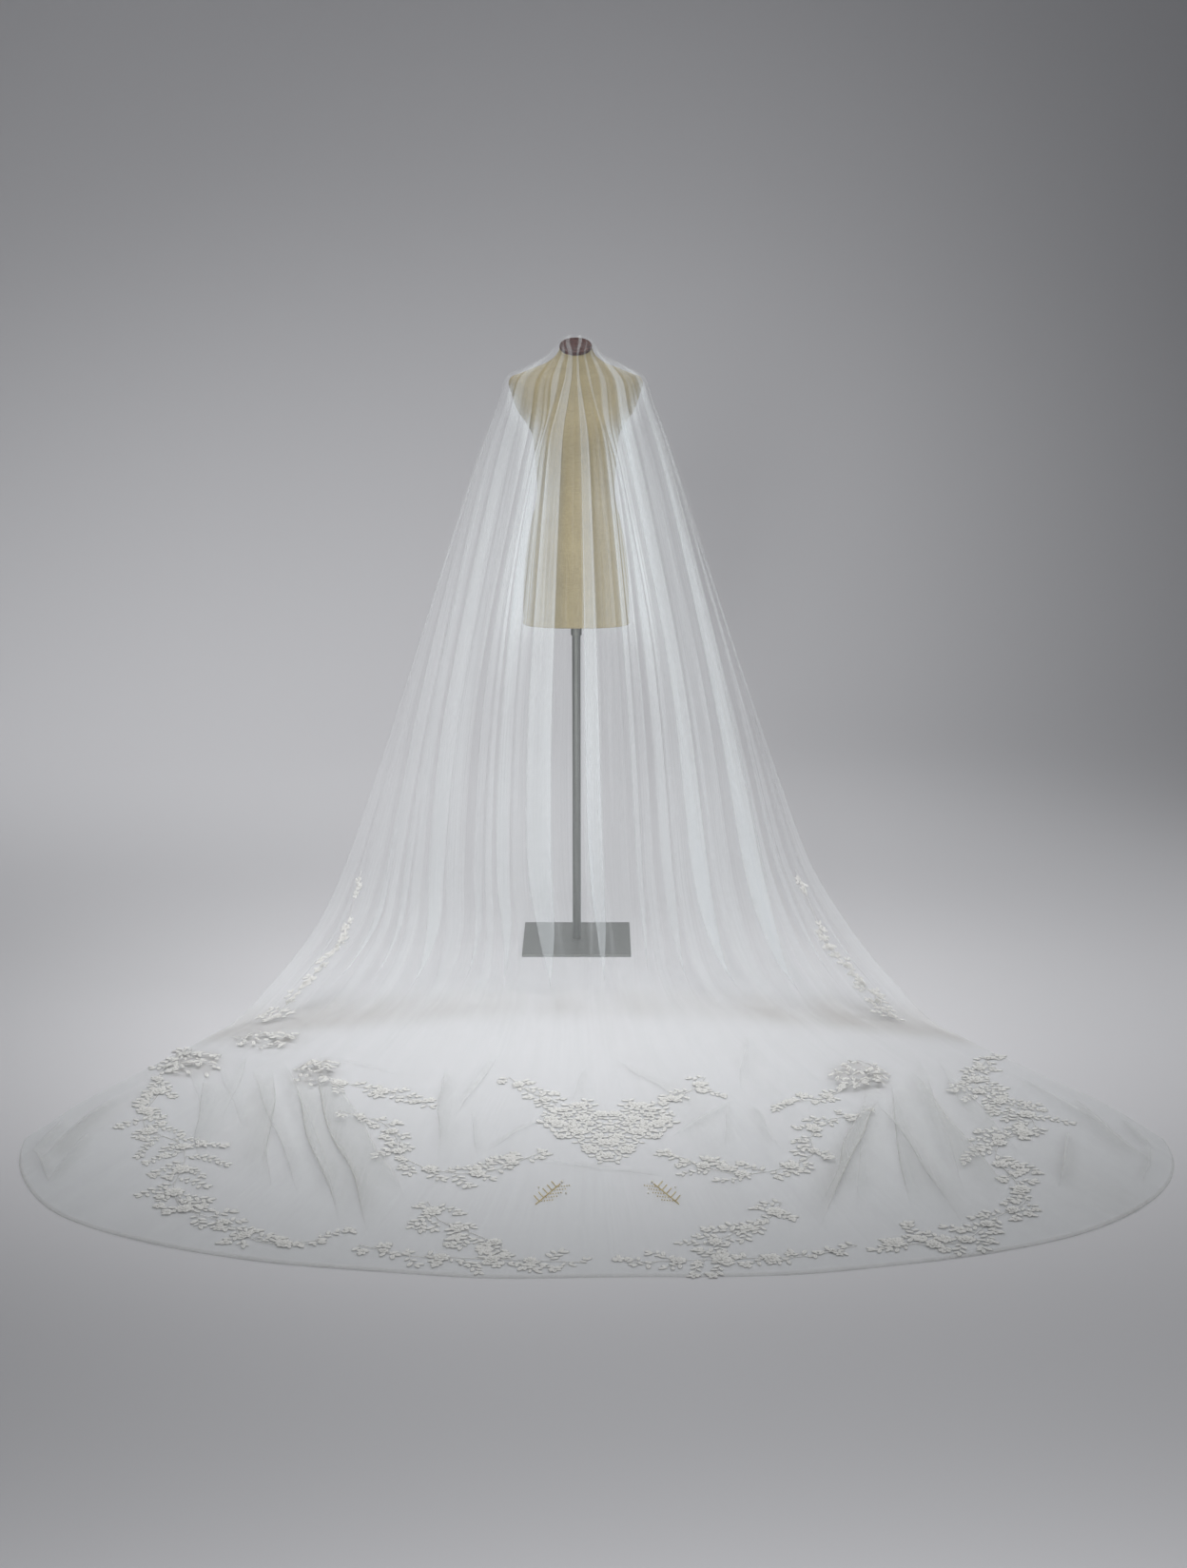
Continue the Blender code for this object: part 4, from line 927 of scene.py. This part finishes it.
class LaceMesh:
    """Gathers the leaves, petals and cords of one piece of lace, with a value at each point that
    paints shade at their feet and a highlight along their cords.
    """

    def __init__(self, lay):
        self.lay = lay          # puts a point of the plan, lifted, on the net
        self.points, self.faces, self.threads = [], [], []

    def leaf(self, x, y, heading, length, half, lift=0.0):
        """A closed leaf from a point of the plan in a direction, on the net."""
        cos, sin = math.cos(heading), math.sin(heading)
        first, wide, tall = len(self.points), len(LEAF_ACROSS), len(LEAF_ROWS)
        spots = []
        for r, (share, width) in enumerate(LEAF_ROWS):
            for across, height, thread in LEAF_ACROSS:
                along, off = share * length, across * half * width
                px, py = x + along * cos - off * sin, y + along * sin + off * cos
                end = r in (0, tall - 1)
                spots.append((px, py))
                self.points.append(self.lay(px, py, LACE_FOOT + lift + (0.0 if end else height)))
                self.threads.append(0.35 if end else thread)
        for r in range(tall - 1):
            for c in range(wide - 1):
                a, b = first + r * wide + c, first + r * wide + c + 1
                self.faces.append((a, a + wide, b + wide, b))
        rim = grid_rim(tall, wide)
        under = len(self.points)
        for k in rim:
            self.points.append(self.lay(*spots[k], LACE_UNDER + lift))
            self.threads.append(0.0)
        for k, a in enumerate(rim):
            n = (k + 1) % len(rim)
            self.faces.append((first + a, first + rim[n], under + n, under + k))
        self.faces.append(tuple(under + k for k in range(len(rim))))

    def flower(self, x, y, turn, petals, reach, lift=0.0):
        """Petals round a small knot of cord."""
        start = reach * 0.12
        for k in range(petals):
            heading = turn + 2 * math.pi * k / petals
            px, py = x + start * math.cos(heading), y + start * math.sin(heading)
            self.leaf(px, py, heading, reach, reach * 0.40, lift + 0.0003 * (k % 2))
        self.knot(x, y, reach * 0.18, lift)

    def knot(self, x, y, radius, lift):
        """A small round knot of cord."""
        first = len(self.points)
        for ring, (share, height) in enumerate(KNOT_RINGS):
            for k in range(KNOT_SIDES):
                a = 2 * math.pi * k / KNOT_SIDES
                px, py = x + radius * share * math.cos(a), y + radius * share * math.sin(a)
                self.points.append(self.lay(px, py, height + lift))
                self.threads.append(1.0 if ring else 0.0)
                if ring:
                    n = (k + 1) % KNOT_SIDES
                    low, high = first + (ring - 1) * KNOT_SIDES, first + ring * KNOT_SIDES
                    self.faces.append((low + k, low + n, high + n, high + k))
        self.faces.append(tuple(first + 2 * KNOT_SIDES + k for k in range(KNOT_SIDES)))
        self.faces.append(tuple(first + KNOT_SIDES - 1 - k for k in range(KNOT_SIDES)))

    def cord(self, path, radius=0.0009):
        """A four-sided cord along points of the plan."""
        first = len(self.points)
        for k, (x, y) in enumerate(path):
            bx, by = path[max(k - 1, 0)]
            ax, ay = path[min(k + 1, len(path) - 1)]
            length = math.hypot(ax - bx, ay - by) or 1.0
            sx, sy = -(ay - by) / length * radius, (ax - bx) / length * radius
            for off, height, thread in ((1, LACE_FOOT, 0.2), (0, LACE_FOOT + radius * 1.5, 1.0),
                                        (-1, LACE_FOOT, 0.2), (0, LACE_UNDER, 0.2)):
                self.points.append(self.lay(x + sx * off, y + sy * off, height))
                self.threads.append(thread)
        for k in range(len(path) - 1):
            for c in range(4):
                a, b = first + 4 * k + c, first + 4 * k + (c + 1) % 4
                self.faces.append((a, a + 4, b + 4, b))
        self.faces.append(tuple(first + c for c in range(4)))
        self.faces.append(tuple(first + 4 * (len(path) - 1) + 3 - c for c in range(4)))

    def finish(self, name, material):
        piece = mesh_piece(name, self.points, self.faces, material)
        store(piece, thread=self.threads)
        return face_out(piece)


def on_train(x, y, lift):
    """A point lifted off the net where it lies on the floor."""
    return Vector((x, y, CLOTH_LIFT + lying(x, y)[0] + lift + ON_NET))


def smooth_route(route):
    """Points along a soft curve through a route, evenly spaced, each with the lace's reach there."""
    ends = [2 * Vector(route[0]) - Vector(route[1])] + [Vector(p) for p in route]
    ends.append(2 * Vector(route[-1]) - Vector(route[-2]))
    fine = []
    for a, b, c, d in zip(ends, ends[1:], ends[2:], ends[3:]):
        for k in range(16):
            t = k / 16
            fine.append(0.5 * (2 * b + (c - a) * t + (2 * a - 5 * b + 4 * c - d) * t * t
                               + (3 * b - a - 3 * c + d) * t ** 3))
    fine.append(Vector(route[-1]))
    path, carried = [fine[0]], 0.0
    for a, b in zip(fine, fine[1:]):
        carried += (b - a).to_2d().length
        if carried >= STEM_STEP:
            path.append(b)
            carried = 0.0
    return path


def twig(lace, x, y, heading, length, bend, draw):
    """A curved twig with leaves on both sides and a small flower or a leaf at its tip."""
    steps = max(2, round(length / LEAF_SPACING))
    spots = [(x, y)]
    for k in range(steps):
        heading += bend / steps
        x, y = x + length / steps * math.cos(heading), y + length / steps * math.sin(heading)
        spots.append((x, y))
        side = 1 if k % 2 else -1
        size = draw.uniform(0.65, 1.15)
        lace.leaf(x, y, heading + side * draw.uniform(0.6, 1.2), LEAF[0] * size, LEAF[1] * size,
                  draw.uniform(0, 0.0006))
    lace.cord(spots, TWIG_CORD)
    if draw.random() < 0.45:
        lace.flower(x, y, heading, 5, draw.uniform(0.010, 0.014))
    else:
        lace.leaf(x, y, heading, LEAF[0], LEAF[1])


def grow(lace, path, seed):
    """Twigs and flowers along a stem, as far to each side as its reach."""
    draw = random.Random(seed)
    for k in range(0, len(path), TWIG_SPACING):
        x, y, reach = path[k]
        if reach < LEAST_REACH:
            continue
        before, after = path[max(k - 2, 0)], path[min(k + 2, len(path) - 1)]
        ahead = math.atan2(after.y - before.y, after.x - before.x)
        side = 1 if k // TWIG_SPACING % 2 else -1
        if draw.random() < 0.2:
            side = -side
        length = max(reach * draw.uniform(0.55, 1.55) - 0.012, 0.006)
        twig(lace, x, y, ahead + side * draw.uniform(0.8, 1.5), length, -side * draw.uniform(0.0, 1.2), draw)
    for k in range(FLOWER_SPACING // 2, len(path), FLOWER_SPACING):
        x, y, reach = path[k]
        if reach < LEAST_REACH:
            continue
        size = FLOWER * min(1.0, reach / 0.06) * draw.uniform(0.85, 1.15)
        lace.flower(x, y, draw.uniform(0, 1), 7, size, 0.0008)
        lace.flower(x, y, draw.uniform(0, 1), 5, size * 0.55, 0.0020)
    lace.cord([(p.x, p.y) for p in path])


def fill_bunch(lace, bunch, seed):
    """Lace that lies crumpled on a heap of net."""
    draw = random.Random(seed)
    _, (cx, cy), (rx, ry), top = bunch
    for _ in range(BUNCH_LEAVES):
        out, around = math.sqrt(draw.random()), draw.uniform(0, 2 * math.pi)
        x, y = cx + rx * out * math.cos(around), cy + ry * out * math.sin(around)
        size = draw.uniform(0.7, 1.2)
        lace.leaf(x, y, draw.uniform(0, 2 * math.pi), LEAF[0] * size, LEAF[1] * size,
                  draw.uniform(0, top * 0.4) * (1 - out))


def build_garlands(material):
    """The lace garlands of the train, each with the CAD node that it replaces."""
    made = []
    for seed, (name, route) in enumerate(GARLANDS):
        lace = LaceMesh(on_train)
        grow(lace, smooth_route(route), seed)
        for bunch in BUNCHES:
            if bunch[0] == name:
                fill_bunch(lace, bunch, seed + 50)
        made.append((lace.finish(name.replace("lace_", "corded_lace_"), material), name))
    return made


def build_spray(material):
    """Heart-shaped spray in the middle of the train, the same on its left and its right."""
    lace = LaceMesh(on_train)
    draw = random.Random(77)
    x0, y0 = SPRAY_MIDDLE
    for row in range(SPRAY_ROWS):
        y = SPRAY_TOP - row * SPRAY_SPACING
        # half width of the heart at this row: two lobes at the back and a point at the front
        if y > HEART_SIDES:
            half = HEART_HALF * math.sqrt(max(0.0, 1 - ((y - HEART_WIDEST) / HEART_LOBE) ** 2))
        else:
            half = HEART_HALF * (y - HEART_POINT) / (HEART_SIDES - HEART_POINT)
        inner = CLEFT_HALF if y > CLEFT_END else 0.0
        count = int(max(half, 0.0) / SPRAY_SPACING)
        for k in range(count + 1):
            x = (k + 0.5 * (row % 2)) * SPRAY_SPACING
            if not inner <= x <= half:
                continue
            turn, size = draw.uniform(0, 2 * math.pi), draw.uniform(0.8, 1.15)
            dx, dy = draw.uniform(-0.004, 0.004), draw.uniform(-0.004, 0.004)
            for mirror in ((1, -1) if x > 0.004 else (1,)):
                sx, sy = x0 + mirror * (x + dx), y0 + y + dy
                facing = turn if mirror > 0 else math.pi - turn
                if (row + k) % 3 == 0:
                    lace.flower(sx, sy, facing, 6, 0.0175 * size, 0.0006)
                    lace.flower(sx, sy, facing + 0.5, 5, 0.0095 * size, 0.0016)
                else:
                    for leaf in range(3):
                        lace.leaf(sx, sy, facing + mirror * leaf * 2.1, LEAF[0] * size, LEAF[1] * 1.1 * size,
                                  0.0003 * leaf)
    return lace.finish("corded_lace_centre_spray", material)


def build_edge_lace(name, sign, material):
    """Lace that climbs a side edge of the net, laid on its folds."""
    first, last = EDGE_LACE_PLACES
    near, far = EDGE_LACE
    foot, head = drape(sign * near, last), drape(sign * near, first)
    tall = (head - foot).length * 1.15

    def lay(x, y, lift):
        place = mix(last, first, min(max(y / tall, 0.0), 1.0))
        s = VEIL.at(round(place, 3))
        u = sign * mix(near, far, 0.5 + x / EDGE_LACE_WIDE)
        base = drape(u, place)
        side = outward(u, place)
        height = max(s["pleat"] * (0.55 + 0.9 * pleat_wave(u, place)), 0.0) + EDGE_LACE_LIFT
        return base + side * (height + lift)

    lace = LaceMesh(lay)
    path = []
    for k in range(int(tall / STEM_STEP)):
        share = k * STEM_STEP / tall * (len(EDGE_LACE_REACH) - 1)
        step = int(share)
        reach = mix(EDGE_LACE_REACH[step], EDGE_LACE_REACH[step + 1], share - step)
        path.append(Vector((EDGE_LACE_SWAY * math.sin(k / 9), k * STEM_STEP, reach)))
    grow(lace, path, 40 + sign)
    return lace.finish(name, material)


# Beads
def build_sprig(name, x, y, heading, gold, pearl):
    """A straight little sprig of beads: a stem, five pairs of short leaves and three pearls."""
    deselect()
    bpy.ops.mesh.primitive_uv_sphere_add(segments=8, ring_count=6, radius=BEAD_RADIUS)
    bead = bpy.context.object
    bead.data.materials.append(gold)
    bead.data.shade_smooth()
    spots = [(k * BEAD_SPACING, 0.0, 1.0) for k in range(22)]
    for pair in range(5):
        start = 0.012 + pair * 0.016
        for side in (-1, 1):
            for k in range(1, 6):
                spots.append((start + k * 0.0030, side * k * 0.0034, 0.9))
    spots += [(0.096, 0.0, 1.9), (0.060, 0.026, 1.3), (0.060, -0.026, 1.3)]
    cos, sin = math.cos(heading), math.sin(heading)
    beads = []
    for along, off, size in spots:
        copy = bead.copy()
        copy.data = bead.data.copy()
        if size > 1.2:
            copy.data.materials[0] = pearl
        along, off = along * SPRIG_SCALE, off * SPRIG_SCALE
        px, py = x + along * cos - off * sin, y + along * sin + off * cos
        copy.data.transform(Matrix.Translation(on_train(px, py, 0.0016 * size)) @ Matrix.Scale(size, 4))
        bpy.context.scene.collection.objects.link(copy)
        beads.append(copy)
    bpy.data.objects.remove(bead)
    deselect()
    for copy in beads:
        copy.select_set(True)
    bpy.context.view_layer.objects.active = beads[0]
    bpy.ops.object.join()
    sprig = bpy.context.object
    sprig.name = sprig.data.name = name
    return sprig


# Studio
SWEEP_WIDE, SWEEP_DEEP, SWEEP_TALL, SWEEP_ROUND = 24, 16.3, 9, 5.6
CAMERA_PLACE = (0.05, -6.236, 2.026)
CAMERA_DOWN = 13.9          # degrees below level
# Soft lights: name, place, the spot each points at, its size, watts and spread in degrees
LIGHTS = [
    ("overhead_softbox", (-0.4, -0.5, 3.9), (-0.4, -0.5, 0.0), (3.4, 1.6), 14, 120),
    ("backdrop_light_left", (-3.2, 2.2, 3.7), (-2.6, 6.2, 0.8), (2.0, 2.0), 40, 150),
    ("backdrop_light_middle", (0.9, 3.0, 3.8), (0.6, 7.4, 1.6), (2.6, 1.6), 11, 130),
    ("back_floor_light", (-0.8, 1.6, 3.8), (-0.8, 2.2, 0.0), (3.6, 2.4), 40, 130),
    ("front_floor_light", (0.3, -6.0, 3.0), (0.3, -5.0, 0.0), (3.0, 0.8), 50, 70),
    ("front_softbox", (-0.8, -6.8, 2.2), (-0.1, 0.0, 1.15), (1.2, 1.2), 8.8, 32),
    ("right_softbox", (4.6, -0.4, 2.8), (1.0, -1.0, 0.0), (1.6, 1.6), 14, 80),
    ("train_light", (-0.1, -1.0, 3.0), (-0.1, -0.95, 0.0), (1.9, 0.8), 7, 62),
]


def build_studio():
    """Pale paper sweep, soft overhead light and the camera."""
    deselect()
    bpy.ops.mesh.primitive_plane_add(size=1, location=(0, -0.15, 0))
    sweep = bpy.context.object
    sweep.data.transform(Matrix.Diagonal((SWEEP_WIDE, SWEEP_DEEP, 1, 1)))
    bpy.ops.object.mode_set(mode="EDIT")
    select_edges(sweep, lambda co: co.y > 5)
    bpy.ops.mesh.extrude_region_move(TRANSFORM_OT_translate={"value": (0, 0, SWEEP_TALL)})
    select_edges(sweep, lambda co: co.y > 5 and co.z < 1)
    bpy.ops.mesh.bevel(offset=SWEEP_ROUND, segments=40, affect="EDGES")
    bpy.ops.object.mode_set(mode="OBJECT")
    sweep.data.shade_smooth()
    settle(sweep, "studio_sweep", studio_paper())

    for name, place, aim, size, watts, spread in LIGHTS:
        light = bpy.data.lights.new(name, "AREA")
        light.shape, light.energy = "RECTANGLE", watts
        light.size, light.size_y = size
        light.spread = math.radians(spread)
        lamp = bpy.data.objects.new(name, light)
        lamp.location = place
        lamp.rotation_euler = (Vector(aim) - Vector(place)).to_track_quat("-Z", "Y").to_euler()
        bpy.context.scene.collection.objects.link(lamp)

    world = bpy.data.worlds.new("soft_studio")
    world.use_nodes = True
    world.node_tree.nodes["Background"].inputs["Color"].default_value = srgb("#e4e6ea")
    world.node_tree.nodes["Background"].inputs["Strength"].default_value = 0.17
    bpy.context.scene.world = world

    lens = bpy.data.cameras.new("photo_camera")
    lens.lens, lens.sensor_width = 50, 36
    camera = bpy.data.objects.new("photo_camera", lens)
    camera.location = CAMERA_PLACE
    camera.rotation_euler = (math.radians(90 - CAMERA_DOWN), 0, 0)
    bpy.context.scene.collection.objects.link(camera)
    bpy.context.scene.camera = camera
    bpy.context.scene.view_settings.view_transform = "Standard"
    # the gathered net lies in many clear layers, and light has to get through them all
    bpy.context.scene.cycles.transparent_max_bounces = 96


def dress(name, material):
    """Gives a CAD node whose shape is right its finish."""
    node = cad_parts[name]
    node.data.materials.clear()
    node.data.materials.append(material)


def main():
    build_studio()
    lace_material, linen = corded_lace(), cream_linen()

    form = build_form(linen)
    cap = build_cap(varnished_mahogany())
    band = build_band(satin_ribbon())
    dress("comb", clear_plastic())
    # the tube's steel is set darker than the plate's: painted shade on the upright
    upright = brushed_steel("brushed_steel_tube", (900, 900, 14), "#686a67", "#7e807b")
    dress("pole", upright)
    dress("collar", upright)
    dress("base_plate", brushed_steel("brushed_steel_plate", (10, 900, 900), "#727471", "#888a85"))

    net = silk_tulle()
    tulle = build_tulle(net)
    folds = build_folds(net)
    lace = build_garlands(lace_material)
    lace.append((build_spray(lace_material), "lace_centre_spray"))
    lace.append((build_edge_lace("corded_lace_edge_left", -1, lace_material), "lace_edge_left"))
    lace.append((build_edge_lace("corded_lace_edge_right", 1, lace_material), "lace_edge_right"))
    gold = glass_bead("gold_lined_beads", "#c2ab6c", "#e6d7a6", 0.2)
    pearl = glass_bead("pearl_beads", "#dcd6c8", "#f3f0e8", 0.1)
    sprigs = [build_sprig("bead_sprig_left", -0.075, -1.86, math.radians(64), gold, pearl),
              build_sprig("bead_sprig_right", 0.235, -1.86, math.radians(116), gold, pearl)]

    for piece, node, slot in ((form, "form_torso", "linen"), (cap, "neck_cap", "cap_wood"),
                              (band, "heading_band", "ribbon"), (tulle, "tulle", "tulle")):
        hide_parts(node)
    for piece, node in lace:
        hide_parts(node)
    for piece in [form, cap, band, tulle, folds, *sprigs, *(p for p, _ in lace)]:
        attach(piece, "root")


main()
